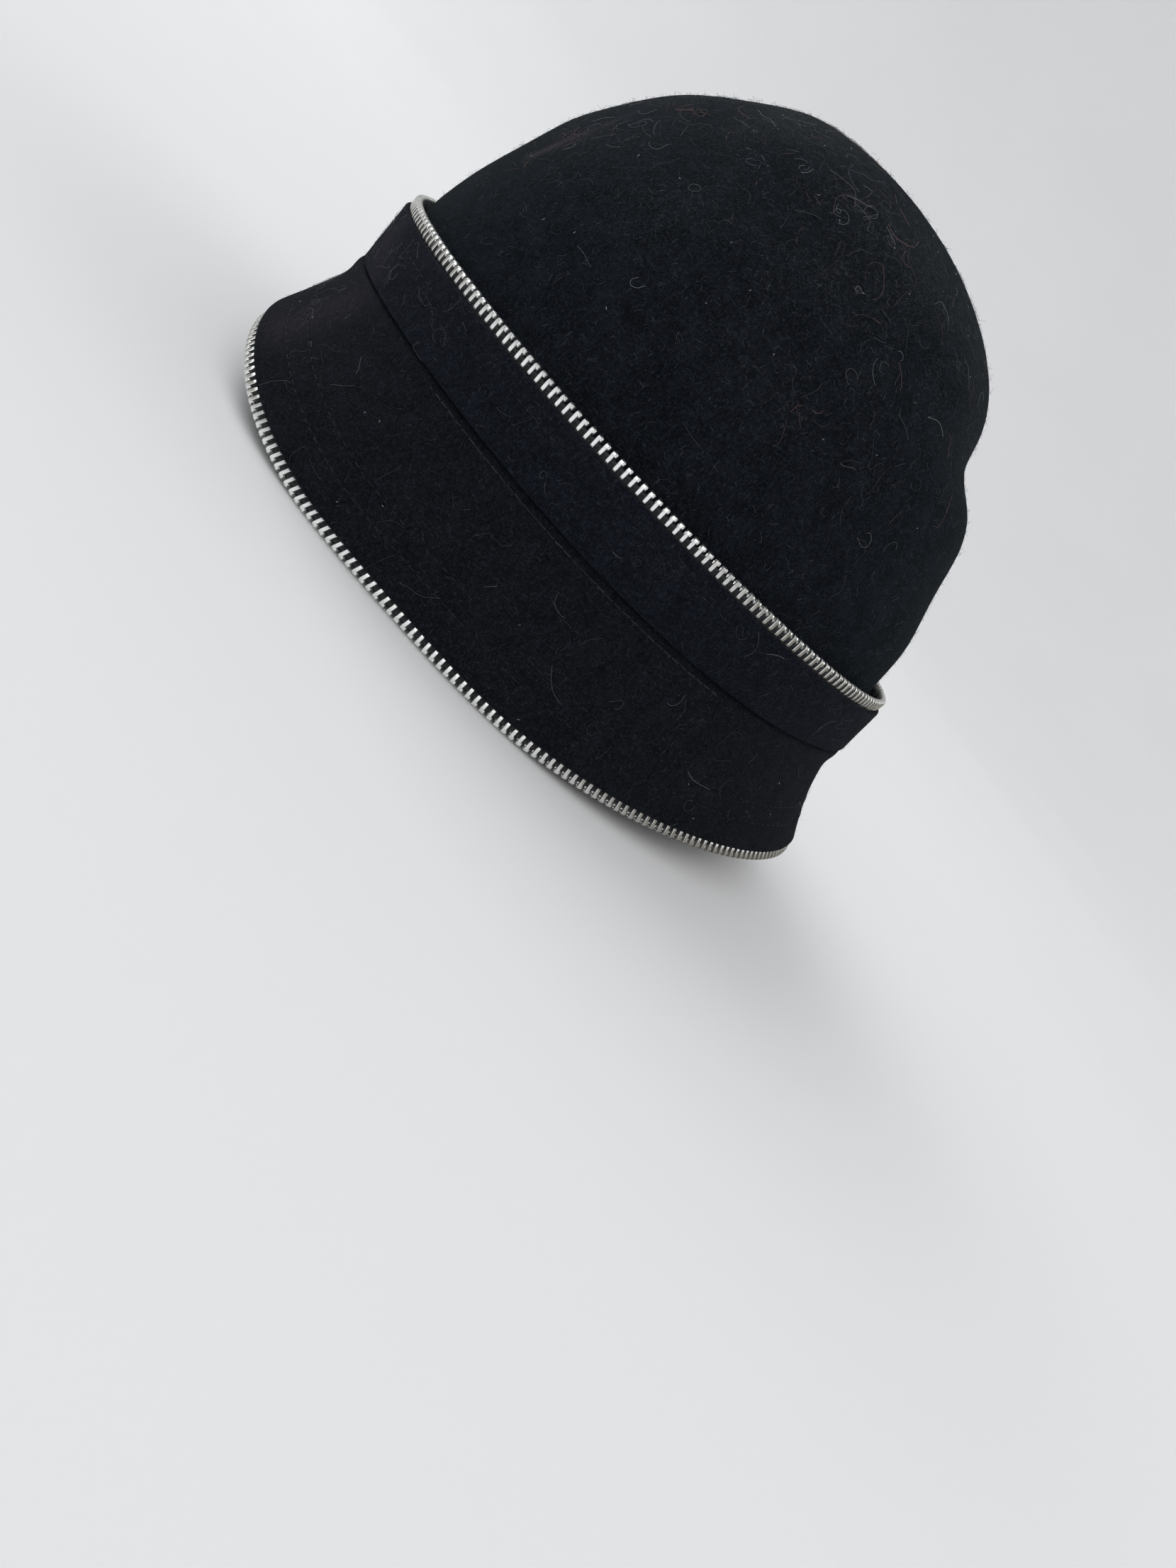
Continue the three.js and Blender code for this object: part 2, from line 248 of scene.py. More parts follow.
def crown_base_normal(level, angle):
    return normal_of(crown_base, np.minimum(level, NEAR_TOP), angle)


def soft_noise(p, scale, seed):
    flat = (p / scale).reshape(-1, 3)
    offset = Vector((seed * 7.31, seed * 3.17, seed * 5.93))
    value = np.array([noise.noise(Vector(q) + offset) for q in flat])
    return value.reshape(p.shape[:-1])


def uneven(p, table):
    """The unevenness of felt in millimetres, from rows of a wave's length, its seed and its height."""
    return sum(soft_noise(p, length, seed) * height for length, seed, height in table)


def lengths_along(p):
    """Running length down each column of a grid of points, from its first row."""
    steps = np.linalg.norm(np.diff(p, axis=0), axis=-1)
    return np.concatenate([np.zeros((1, p.shape[1])), np.cumsum(steps, 0)], 0)


def crown_outside(level, angle):
    level, angle = np.broadcast_arrays(level, angle)
    base = crown_base(level, angle)
    normal = np.where((level > NEAR_TOP)[..., None], (0.0, 0.0, 1.0), crown_base_normal(level, angle))
    across = base[..., 0] / HALF_WIDTH
    along = base[..., 1] / HALF_LENGTH
    above = base[..., 2] / CROWN_RISE
    dip = 0
    for x, y, z, wide, long, tall, depth in CROWN_DENTS:
        far = ((across - x) / wide) ** 2 + ((along - y) / long) ** 2 + ((above - z) / tall) ** 2
        dip = dip + depth * CROWN_RISE * np.exp(-far)
    return base - normal * dip[..., None]


def brim_outside(level, angle):
    level, angle = np.broadcast_arrays(level, angle)
    collar = stand(collar_ring(angle, COLLAR_LAP * (1 - np.minimum(level / BRIM_TURN, 1))))
    share = np.maximum(level - BRIM_TURN, 0) / (1 - BRIM_TURN)
    rim = rim_point(angle) + (0, 0, RIM_FELT_ABOVE)
    along = np.sin(angle) ** 2
    end = np.where(np.sin(angle) < 0, FLARE["front"], FLARE["back"])
    reach = share ** lerp(FLARE["side"], end, along)
    skirt = np.stack([lerp(collar[..., i], rim[..., i], share if i == 2 else reach) for i in range(3)], -1)
    return np.where((level < BRIM_TURN)[..., None], collar, skirt)


def brim_normal(level, angle):
    return normal_of(lambda share, around: brim_outside(1 - share, around), 1 - level, angle)


def rim_frame(angle):
    """Edge points of the brim, its outward normals and the way down along it."""
    one = np.ones_like(angle)
    edge = brim_outside(one, angle)
    return edge, brim_normal(one, angle), unit(edge - brim_outside(one - 0.01, angle))


# Mesh helpers
def link(obj):
    bpy.context.scene.collection.objects.link(obj)
    return obj


def shade_smooth(mesh):
    mesh.polygons.foreach_set("use_smooth", [True] * len(mesh.polygons))


def face_outward(mesh):
    """Turn a closed mesh the right way round if its faces point inward."""
    bm = bmesh.new()
    bm.from_mesh(mesh)
    if bm.calc_volume(signed=True) < 0:
        bmesh.ops.reverse_faces(bm, faces=bm.faces)
        bm.to_mesh(mesh)
    bm.free()


def ring_mesh(name, rows, poles=None):
    """A closed mesh from rows of points, each row a closed loop: rows (n, around, 3) in mm.
    The last row joins the first; poles = (outer, inner, split) closes a dome instead."""
    count, around = rows.shape[:2]
    verts = rows.reshape(-1, 3)
    k = np.arange(count)
    if poles:
        k = k[k != poles[2] - 1]
    i = np.arange(around)
    kk, ii = np.meshgrid(k, i, indexing="ij")
    nk, ni = (kk + 1) % count, (ii + 1) % around
    corners = [kk * around + ii, kk * around + ni, nk * around + ni, nk * around + ii]
    faces = np.stack(corners, -1).reshape(-1, 4).tolist()
    run = np.concatenate([[0], np.cumsum(np.linalg.norm(np.diff(rows[:, 0], axis=0), axis=-1))])
    lap = np.linalg.norm(np.diff(rows[0], axis=0, append=rows[0][:1]), axis=-1)
    lap = np.concatenate([[0], np.cumsum(lap)])
    u = np.stack([lap[ii], lap[ii + 1], lap[ii + 1], lap[ii]], -1).reshape(-1)
    run = np.append(run, run[-1] + np.linalg.norm(rows[-1, 0] - rows[0, 0]))
    v = np.stack([run[kk], run[kk], run[kk + 1], run[kk + 1]], -1).reshape(-1)
    uv = np.stack([u, v], -1) * MM
    if poles:
        outer, inner, split = poles
        base = len(verts)
        verts = np.vstack([verts, outer, inner])
        a, b = (split - 1) * around, split * around
        for j in range(around):
            n = (j + 1) % around
            faces.append([a + j, a + n, base])
            faces.append([b + n, b + j, base + 1])
        uv = np.vstack([uv, np.zeros((around * 6, 2))])
    mesh = bpy.data.meshes.new(name)
    mesh.from_pydata((verts * MM).tolist(), [], faces)
    mesh.uv_layers.new(name="cloth").data.foreach_set("uv", uv.astype(np.float32).ravel())
    mesh.validate()
    face_outward(mesh)
    shade_smooth(mesh)
    return mesh


def path_mesh(name, path, closed, **vectors):
    """Edges along a path, with named vectors on its points."""
    count = len(path)
    edges = [(i, (i + 1) % count) for i in range(count if closed else count - 1)]
    mesh = bpy.data.meshes.new(name)
    mesh.from_pydata((path * MM).tolist(), edges, [])
    for label, value in vectors.items():
        layer = mesh.attributes.new(label, "FLOAT_VECTOR", "POINT")
        layer.data.foreach_set("vector", np.ascontiguousarray(value, np.float32).ravel())
    return mesh


# Node helpers
def tree_with(name, inputs):
    tree = bpy.data.node_groups.new(name, "GeometryNodeTree")
    tree.interface.new_socket("Geometry", in_out="INPUT", socket_type="NodeSocketGeometry")
    for label, kind in inputs:
        tree.interface.new_socket(label, in_out="INPUT", socket_type="NodeSocket" + kind)
    tree.interface.new_socket("Geometry", in_out="OUTPUT", socket_type="NodeSocketGeometry")
    return tree


def add(tree, kind, inputs=None, **settings):
    """Adds a node, sets its properties, then its sockets by name or number: a value, or a socket to link."""
    made = tree.nodes.new(kind)
    for key, value in settings.items():
        setattr(made, key, value)
    for key, value in (inputs or {}).items():
        if isinstance(key, str):
            socket = next(s for s in made.inputs if s.name == key and s.enabled)
        else:
            socket = made.inputs[key]
        if isinstance(value, bpy.types.NodeSocket):
            tree.links.new(value, socket)
        else:
            socket.default_value = value
    return made


def out(made, name=None):
    return next(s for s in made.outputs if s.enabled and (name is None or s.name == name))


def maths(tree, operation, a, b=0.0):
    return out(add(tree, "ShaderNodeMath", {0: a, 1: b}, operation=operation))


def vectors(tree, operation, a, b=None, scale=None):
    values = {0: a}
    if b is not None:
        values[1] = b
    if scale is not None:
        values["Scale"] = scale
    made = add(tree, "ShaderNodeVectorMath", values, operation=operation)
    return out(made, "Value" if operation in ("LENGTH", "DOT_PRODUCT") else "Vector")


def noise_texture(tree, place, scale, detail, result="Fac", **more):
    made = add(tree, "ShaderNodeTexNoise", {"Vector": place, "Scale": scale, "Detail": detail, **more})
    return out(made, result)


def random_value(tree, low, high, seed):
    kind = "FLOAT_VECTOR" if isinstance(low, tuple) else "FLOAT"
    return out(add(tree, "FunctionNodeRandomValue", {"Min": low, "Max": high, "Seed": seed}, data_type=kind))


def turned_by(tree, rotation, angles):
    spin = out(add(tree, "FunctionNodeEulerToRotation", {0: angles}))
    values = {"Rotation": rotation, "Rotate By": spin}
    return out(add(tree, "FunctionNodeRotateRotation", values, rotation_space="LOCAL"))


def tinted(tree, instances, seed):
    """Gives each instance a random tone from 0 to 1."""
    values = {"Geometry": instances, "Name": "tint", "Value": random_value(tree, 0.0, 1.0, seed)}
    return out(add(tree, "GeometryNodeStoreNamedAttribute", values, data_type="FLOAT", domain="INSTANCE"))


def thin_tube(tree, curve, sides, radius):
    """A closed tube of few sides along each curve."""
    section = {"Resolution": sides, "Radius": radius}
    ring = out(add(tree, "GeometryNodeCurvePrimitiveCircle", section, mode="RADIUS"))
    values = {"Curve": curve, "Profile Curve": ring, "Fill Caps": True}
    return out(add(tree, "GeometryNodeCurveToMesh", values))


def finish_tree(tree, geometry, material):
    real = add(tree, "GeometryNodeRealizeInstances", {"Geometry": geometry})
    dressed = add(tree, "GeometryNodeSetMaterial", {"Geometry": out(real), "Material": material})
    end = add(tree, "NodeGroupOutput")
    tree.links.new(out(dressed), end.inputs["Geometry"])


def grow(name, mesh, tree, values):
    """Runs a node tree on a mesh and keeps the result as a plain mesh."""
    obj = link(bpy.data.objects.new(name, mesh))
    modifier = obj.modifiers.new("shape", "NODES")
    modifier.node_group = tree
    for item in tree.interface.items_tree:
        if item.in_out == "INPUT" and item.name in values:
            modifier[item.identifier] = values[item.name]
    obj.update_tag()
    depsgraph = bpy.context.evaluated_depsgraph_get()
    made = bpy.data.meshes.new_from_object(obj.evaluated_get(depsgraph))
    made.name = name
    obj.modifiers.remove(modifier)
    obj.data = made
    return obj


# Material helpers
def group_with(name, inputs, outputs):
    tree = bpy.data.node_groups.new(name, "ShaderNodeTree")
    for label, kind, value in inputs:
        socket = tree.interface.new_socket(label, in_out="INPUT", socket_type="NodeSocket" + kind)
        if value is not None:
            socket.default_value = value
    for label, kind in outputs:
        tree.interface.new_socket(label, in_out="OUTPUT", socket_type="NodeSocket" + kind)
    return tree


def blend(tree, share, a, b, mode="MIX"):
    made = add(tree, "ShaderNodeMix", data_type="RGBA", blend_type=mode)
    for socket, value in zip((made.inputs[0], made.inputs[6], made.inputs[7]), (share, a, b)):
        if isinstance(value, bpy.types.NodeSocket):
            tree.links.new(value, socket)
        else:
            socket.default_value = value
    return made.outputs[2]


def ramp(tree, value, low, high, to_low=0.0, to_high=1.0):
    values = {"Value": value, "From Min": low, "From Max": high, "To Min": to_low, "To Max": to_high}
    return out(add(tree, "ShaderNodeMapRange", values))


def use_group(tree, group, values):
    made = tree.nodes.new("ShaderNodeGroup")
    made.node_tree = group
    for key, value in values.items():
        if isinstance(value, bpy.types.NodeSocket):
            tree.links.new(value, made.inputs[key])
        else:
            made.inputs[key].default_value = value
    return made


def new_material(name):
    material = bpy.data.materials.new(name)
    material.use_nodes = True
    tree = material.node_tree
    tree.nodes.clear()
    shader = tree.nodes.new("ShaderNodeBsdfPrincipled")
    end = tree.nodes.new("ShaderNodeOutputMaterial")
    tree.links.new(shader.outputs[0], end.inputs["Surface"])
    return material, tree, shader


def colour(r, g, b):
    return (r, g, b, 1.0)


def stretched_noise(tree, place, direction, stretch, scale):
    """Noise drawn out along one axis, so that it reads as fibres lying that way."""
    squeeze = [1.0, 1.0, 1.0]
    squeeze[direction] = stretch
    turn = (0.5 * direction, 0.7, 0.4 * direction)
    turned = add(tree, "ShaderNodeMapping", {"Vector": place, "Rotation": turn, "Scale": squeeze})
    return noise_texture(tree, out(turned), scale, 2.0, Roughness=0.6)


def felt_fibres():
    """Crossed short fibres of wool felt: a mask of pale fibres, a soft mottling and a height."""
    tree = group_with(
        "felt_fibres",
        [("Place", "Vector", None), ("Scale", "Float", 1.0)],
        [("Fibres", "Float"), ("Mottle", "Float"), ("Height", "Float")],
    )
    start = tree.nodes.new("NodeGroupInput")
    end = tree.nodes.new("NodeGroupOutput")
    place = vectors(tree, "SCALE", start.outputs["Place"], scale=start.outputs["Scale"])
    wander = noise_texture(tree, place, 420.0, 1.0, "Color")
    bent = vectors(tree, "ADD", place, vectors(tree, "SCALE", wander, scale=0.0011))
    lines = [stretched_noise(tree, bent, axis, 0.2, 2600.0) for axis in (0, 1, 2)]
    top = maths(tree, "MAXIMUM", maths(tree, "MAXIMUM", lines[0], lines[1]), lines[2])
    fibres = ramp(tree, top, 0.56, 0.78)
    mottle = noise_texture(tree, place, 160.0, 3.0, Roughness=0.65)
    fine = noise_texture(tree, bent, 1900.0, 3.0)
    height = maths(tree, "ADD", maths(tree, "MULTIPLY", top, 0.7), maths(tree, "MULTIPLY", fine, 0.5))
    tree.links.new(fibres, end.inputs["Fibres"])
    tree.links.new(mottle, end.inputs["Mottle"])
    tree.links.new(height, end.inputs["Height"])
    return tree


FIBRES = felt_fibres()


def dusty_crest():
    """A soft mask along a straight crest: full on its line, gone at Reach from it or past its Half Length."""
    tree = group_with(
        "dusty_crest",
        [
            ("Place", "Vector", None),
            ("Middle", "Vector", None),
            ("Direction", "Vector", None),
            ("Reach", "Float", 0.004),
            ("Half Length", "Float", 0.02),
        ],
        [("Mask", "Float")],
    )
    start = tree.nodes.new("NodeGroupInput")
    end = tree.nodes.new("NodeGroupOutput")
    off = vectors(tree, "SUBTRACT", start.outputs["Place"], start.outputs["Middle"])
    aside = vectors(tree, "LENGTH", vectors(tree, "CROSS_PRODUCT", off, start.outputs["Direction"]))
    along = vectors(tree, "DOT_PRODUCT", off, start.outputs["Direction"])
    near = maths(tree, "DIVIDE", aside, start.outputs["Reach"])
    share = maths(tree, "DIVIDE", maths(tree, "ABSOLUTE", along), start.outputs["Half Length"])
    mask = maths(tree, "MULTIPLY", ramp(tree, near, 1.0, 0.1), ramp(tree, share, 1.0, 0.6))
    tree.links.new(mask, end.inputs["Mask"])
    return tree


CREST = dusty_crest()
# pale tone of the crests: dust, and on the crown's ridge a painted highlight
CREST_DUST_AND_HIGHLIGHT = colour(0.062, 0.048, 0.060)
PALE_FIBRE = colour(0.030, 0.037, 0.047)
# paler fibres higher up: partly dust, partly painted light on the upper crown
DUST_AND_LIGHT_FIBRE = colour(0.115, 0.098, 0.108)


def add_bump(tree, shader, height, strength, distance):
    made = add(tree, "ShaderNodeBump", {"Height": height, "Strength": strength, "Distance": distance})
    tree.links.new(out(made), shader.inputs["Normal"])


def wool_felt(name, deep, soft, dust_and_light_tone, dust_and_light_from, dust_and_light_to, crests, sheen):
    """Felt whose tone runs from a deep black to a paler one with height: partly dust on the upper crown and
    partly painted light on its top.
    crests are pale lines, dust and on the crown's ridge a painted highlight: two ends and the reach in
    millimetres, and the strength."""
    material, tree, shader = new_material(name)
    place = out(add(tree, "ShaderNodeTexCoord"), "Object")
    fibres = use_group(tree, FIBRES, {"Place": place, "Scale": 1.0})
    height = out(add(tree, "ShaderNodeSeparateXYZ", {0: place}), "Z")
    cloud = noise_texture(tree, place, 28.0, 2.0)
    # dust and painted light: the tone turns paler with height, partly dust and partly painted light on the
    # upper crown
    raised = ramp(tree, height, dust_and_light_from, dust_and_light_to)
    dusty = maths(tree, "MULTIPLY", raised, ramp(tree, cloud, 0.3, 0.7))
    tone = blend(tree, ramp(tree, fibres.outputs["Mottle"], 0.38, 0.64), colour(*deep), colour(*soft))
    tone = blend(tree, dusty, tone, colour(*dust_and_light_tone))
    # each crest lays a pale line: dust, and on the crown's ridge a painted highlight
    for low, high, reach, strength in crests:
        low, high = Vector(low) * MM, Vector(high) * MM
        line = {"Middle": (low + high) / 2, "Direction": (high - low).normalized()}
        sizes = {"Reach": reach * MM, "Half Length": (high - low).length / 2}
        crest = use_group(tree, CREST, {"Place": place, **line, **sizes})
        patchy = maths(tree, "MULTIPLY", crest.outputs["Mask"], ramp(tree, cloud, 0.3, 0.62, 0.3, 1.0))
        tone = blend(tree, maths(tree, "MULTIPLY", patchy, strength), tone, CREST_DUST_AND_HIGHLIGHT)
    # the pale fibres also turn paler with height: dust and painted light
    grain = blend(tree, dusty, PALE_FIBRE, DUST_AND_LIGHT_FIBRE)
    tone = blend(tree, maths(tree, "MULTIPLY", fibres.outputs["Fibres"], 0.6), tone, grain)
    curl = noise_texture(tree, place, 1150.0, 2.0, Distortion=1.6)
    tone = blend(tree, 1.0, tone, ramp(tree, curl, 0.36, 0.66, 0.68, 1.38), "MULTIPLY")
    tree.links.new(tone, shader.inputs["Base Color"])
    add_bump(tree, shader, fibres.outputs["Height"], 0.8, 0.0005)
    tree.links.new(ramp(tree, fibres.outputs["Mottle"], 0.3, 0.7, 0.88, 0.98), shader.inputs["Roughness"])
    shader.inputs["Specular IOR Level"].default_value = 0.05
    shader.inputs["Sheen Weight"].default_value = 0.05
    shader.inputs["Sheen Roughness"].default_value = 0.45
    shader.inputs["Sheen Tint"].default_value = colour(*sheen)
    return material


def zip_metal(name):
    """Bright stamped metal with small scratches."""
    material, tree, shader = new_material(name)
    place = out(add(tree, "ShaderNodeTexCoord"), "Object")
    smudge = noise_texture(tree, place, 300.0, 3.0)
    tone = blend(tree, smudge, colour(0.76, 0.77, 0.755), colour(0.92, 0.935, 0.925))
    tree.links.new(tone, shader.inputs["Base Color"])
    shader.inputs["Metallic"].default_value = 1.0
    tree.links.new(ramp(tree, smudge, 0.3, 0.7, 0.22, 0.36), shader.inputs["Roughness"])
    add_bump(tree, shader, noise_texture(tree, place, 4200.0, 2.0), 0.25, 0.00008)
    return material


TWILL_PITCH = 0.0009
YARN_PITCH = 0.0005


def zip_tape(name):
    """Black herringbone tape, its weave laid along the tape by its own map."""
    material, tree, shader = new_material(name)
    place = add(tree, "ShaderNodeUVMap", uv_map="cloth")
    split = add(tree, "ShaderNodeSeparateXYZ", {0: out(place)})
    along, across = out(split, "X"), out(split, "Y")
    leaning = maths(tree, "PINGPONG", across, 0.0016)
    slanted = maths(tree, "ADD", along, leaning)
    twill = maths(tree, "SINE", maths(tree, "MULTIPLY", slanted, TURN / TWILL_PITCH))
    yarn = maths(tree, "SINE", maths(tree, "MULTIPLY", across, TURN / YARN_PITCH))
    weave = maths(tree, "ADD", maths(tree, "MULTIPLY", twill, 0.5), maths(tree, "MULTIPLY", yarn, 0.35))
    share = ramp(tree, weave, -0.85, 0.85)
    tone = blend(tree, share, colour(0.006, 0.006, 0.008), colour(0.022, 0.023, 0.028))
    tree.links.new(tone, shader.inputs["Base Color"])
    add_bump(tree, shader, share, 0.6, 0.0001)
    shader.inputs["Roughness"].default_value = 0.75
    shader.inputs["Sheen Weight"].default_value = 0.1
    return material


def strand_material(name, dark, light, roughness):
    """Thread and fibre, each strand with a tone of its own."""
    material, tree, shader = new_material(name)
    tint = add(tree, "ShaderNodeAttribute", attribute_name="tint")
    share = maths(tree, "POWER", out(tint, "Fac"), 2.2)
    tree.links.new(blend(tree, share, colour(*dark), colour(*light)), shader.inputs["Base Color"])
    shader.inputs["Roughness"].default_value = roughness
    shader.inputs["Specular IOR Level"].default_value = 0.3
    return material


def plain_floor():
    """A pale floor. To glossy rays its colour is painted: bright to the hat's left and front and a painted
    dark shade elsewhere, which the metal shows as a painted reflection.
    """
    material, tree, shader = new_material("pale_floor")
    place = out(add(tree, "ShaderNodeTexCoord"), "Object")
    cloud = noise_texture(tree, place, 3.0, 2.0)
    pale = blend(tree, cloud, colour(0.84, 0.84, 0.84), colour(0.88, 0.88, 0.88))
    toward = vectors(tree, "NORMALIZE", place)
    side = vectors(tree, "DOT_PRODUCT", toward, (0.97, -0.22, 0.0))
    # painted reflection: glossy rays see the floor in a dark warm shade away from the hat's left and front
    painted_reflection_shade = blend(tree, ramp(tree, side, 0.35, 0.85), colour(0.27, 0.245, 0.21), colour(1.0, 1.0, 1.0))
    mirrored = add(tree, "ShaderNodeLightPath")
    tone = blend(tree, out(mirrored, "Is Glossy Ray"), pale, painted_reflection_shade)
    tree.links.new(tone, shader.inputs["Base Color"])
    shader.inputs["Roughness"].default_value = 0.9
    shader.inputs["Specular IOR Level"].default_value = 0.1
    return material


# Pale lines on the front, dust and on the crown's ridge a painted highlight: one end, the other end, reach
# and strength
CROWN_CRESTS = [
    ((39.2, -85.1, 91.5), (40.8, -75.2, 112.0), 2.6, 0.42),
    ((40.8, -75.6, 111.0), (33.6, -72.2, 124.0), 2.2, 0.34),
    ((40.0, -80.0, 96.0), (24.0, -58.0, 140.0), 20.0, 0.10),
]
BRIM_CRESTS = [((50.0, -86.0, 46.0), (64.0, -98.0, 12.0), 13.0, 0.26)]
BAND_CRESTS = [((38.0, -98.0, 57.0), (56.0, -86.0, 42.0), 12.0, 0.24)]

FELT_CROWN = wool_felt(
    "felt_crown",
    deep=(0.0026, 0.0036, 0.0054),
    soft=(0.0066, 0.0082, 0.0114),
    dust_and_light_tone=(0.0082, 0.0120, 0.0140),
    dust_and_light_from=0.090,
    dust_and_light_to=0.150,
    crests=CROWN_CRESTS,
    sheen=(0.18, 0.34, 0.38),
)
FELT_BRIM = wool_felt(
    "felt_brim",
    deep=(0.0034, 0.0044, 0.0062),
    soft=(0.0062, 0.0073, 0.0097),
    dust_and_light_tone=(0.0094, 0.0106, 0.0136),
    dust_and_light_from=0.05,
    dust_and_light_to=0.12,
    crests=BRIM_CRESTS,
    sheen=(0.26, 0.28, 0.38),
)
FELT_BAND = wool_felt(
    "felt_band",
    deep=(0.0032, 0.0044, 0.0074),
    soft=(0.0058, 0.0073, 0.0116),
    dust_and_light_tone=(0.0110, 0.0126, 0.0176),
    dust_and_light_from=0.05,
    dust_and_light_to=0.12,
    crests=BAND_CRESTS,
    sheen=(0.26, 0.28, 0.38),
)
METAL = zip_metal("zip_metal")
TAPE = zip_tape("zip_tape")
THREAD = strand_material("sewing_thread", (0.003, 0.0035, 0.005), (0.009, 0.010, 0.013), 0.6)
# painted highlight: the same dark thread as the other rows, made paler for the row below the band in place of
# its highlights
HIGHLIGHT_LIP_THREAD = strand_material("lip_thread_painted_highlight", (0.008, 0.010, 0.015), (0.024, 0.029, 0.040), 0.7)
FUZZ = strand_material("wool_fuzz", (0.005, 0.007, 0.010), (0.130, 0.140, 0.155), 0.8)
LINT = strand_material("lint", (0.040, 0.042, 0.050), (0.36, 0.37, 0.40), 0.7)
WARM_LINT = strand_material("warm_lint", (0.060, 0.032, 0.036), (0.36, 0.20, 0.19), 0.7)


# Felt pieces
AROUND = 360

# A wave's length, its seed and its height
CROWN_UNEVEN = [(34, 1, 0.55), (13, 2, 0.16), (4.5, 3, 0.05)]
BAND_UNEVEN = [(22, 5, 0.22), (6, 6, 0.05)]
BRIM_UNEVEN = [(26, 8, 0.35), (7, 9, 0.07)]

CROWN_ROWS_OUTSIDE = 130
CROWN_ROWS_INSIDE = 45
BAND_EDGE_RADIUS = 0.5


def crown_piece():
    """Blocked dome, its outside a little uneven and its inside plain."""
    angle = full_turn(AROUND)[None]
    levels = np.linspace(0, 1, CROWN_ROWS_OUTSIDE + 1)[:-1][:, None]
    outside = crown_outside(levels, angle)
    fade = np.clip(levels * 6 - 1.2, 0, 1)
    swell = uneven(outside, CROWN_UNEVEN) * fade
    outside = outside + crown_base_normal(levels, angle) * swell[..., None]
    levels = np.linspace(0, 1, CROWN_ROWS_INSIDE + 1)[:-1][::-1][:, None]
    inside = crown_outside(levels, angle) - crown_base_normal(levels, angle) * FELT
    top = crown_outside(np.array(1.0), np.array(0.0))
    swell_top = uneven(top[None], CROWN_UNEVEN[:1])[0]
    rows = np.vstack([outside, inside])
    poles = (stand(top + (0, 0, swell_top)), stand(top - (0, 0, FELT)), len(outside))
    return ring_mesh("crown_felt", stand(rows), poles=poles)


def band_piece():
    """Band with rounded edges and a slightly uneven face."""
    angle = full_turn(AROUND * 2)[None]
    long = BAND_TOP - band_foot(angle)
    r = BAND_EDGE_RADIUS
    quarter = np.linspace(0, math.pi / 2, 4)
    top_edge = [(r - r * math.cos(t), r - r * math.sin(t)) for t in quarter]
    rows = list(top_edge)
    rows += [(lerp(r, long - r, share), 0.0) for share in np.linspace(0, 1, 22)[1:-1]]
    rows += [(long - r + r * math.sin(t), r - r * math.cos(t)) for t in quarter]
    rows += [(long - r + r * math.sin(t), BAND_FELT - r + r * math.cos(t)) for t in quarter[::-1]]
    rows += [(lerp(r, long - r, share), BAND_FELT) for share in np.linspace(1, 0, 6)[1:-1]]
    rows += [(down, BAND_FELT - inward) for down, inward in top_edge[::-1]]
    made = np.concatenate([band_at(down / long, angle, inward) for down, inward in rows], 0)
    swell = uneven(made, BAND_UNEVEN)
    away = points(np.cos(angle) + 0 * swell, np.sin(angle) + 0 * swell, 0 * swell)
    return ring_mesh("band_felt", stand(made + away * swell[..., None]))


# Relief of the brim in millimetres: the lip below the band, the two stitched rows and the back seam
RISE_UNDER_BAND = 1.25
MORE_RISE_AT_FRONT = 0.35
LIP_FROM, LIP_TO, LIP_FADE = 0.50, 0.62, 0.22
ROW_LOW, ROW_HIGH = 9, 15
SEAM_RADIUS = 110
SEAM_DEPTH = 0.45
EDGE_ROUND = 0.4


def lip_share(angle):
    """How far the sewn lip below the band shows: on both sides of the hat, not at its front and back."""
    turned = np.abs(np.arctan2(np.sin(angle), np.abs(np.cos(angle))))
    reach = np.where(np.sin(angle) < 0, LIP_FROM, LIP_TO)
    return np.clip((reach - turned) / LIP_FADE + 0.5, 0, 1)


def bell(run, at, spread):
    return np.exp(-(((run - at) / spread) ** 2))


def brim_piece():
    """Brim with its collar inside the band, the pressed line below the band and the seam at the back."""
    angle = full_turn(AROUND * 2)[None]
    collar = np.linspace(0, BRIM_TURN, 5)[:-1]
    levels = np.concatenate([collar, np.linspace(BRIM_TURN, 1, 64)])[:, None]
    outside = brim_outside(levels, angle)
    normal = brim_normal(levels, angle)
    below = lengths_along(outside)
    below = below - below[len(collar)]
    left = below[-1] - below
    rise = RISE_UNDER_BAND + MORE_RISE_AT_FRONT * np.clip(-np.sin(angle) * 2 - 1, 0, 1)
    relief = rise * np.clip(below / 1.6, 0, 1) ** 1.5 * bell(np.maximum(below, 2.6), 2.6, 3.5)
    relief = relief - lip_share(angle) * (0.35 * bell(below, 1.6, 0.9) - 0.16 * bell(below, 2.9, 0.6))
    relief = relief - 0.13 * bell(left, ROW_LOW, 0.35) - 0.10 * bell(left, ROW_HIGH, 0.35)
    aside = np.arctan2(np.sin(angle - BACK), np.cos(angle - BACK)) * SEAM_RADIUS
    seam = SEAM_DEPTH * bell(aside, 0, 0.5) * (below > 0)
    swell = uneven(outside, BRIM_UNEVEN) * np.clip(below / 3, 0, 1)
    outside = outside + normal * (swell + relief * (below > -0.5) - seam)[..., None]
    outside = outside - normal * (EDGE_ROUND * bell(left, 0, 0.35))[..., None]
    levels = np.concatenate([np.linspace(0, BRIM_TURN, 3)[:-1], np.linspace(BRIM_TURN, 1, 20)])
    levels = levels[::-1][:, None]
    inside = brim_outside(levels, angle) - brim_normal(np.maximum(levels, 0.02), angle) * FELT
    return ring_mesh("brim_felt", np.vstack([outside, inside]))


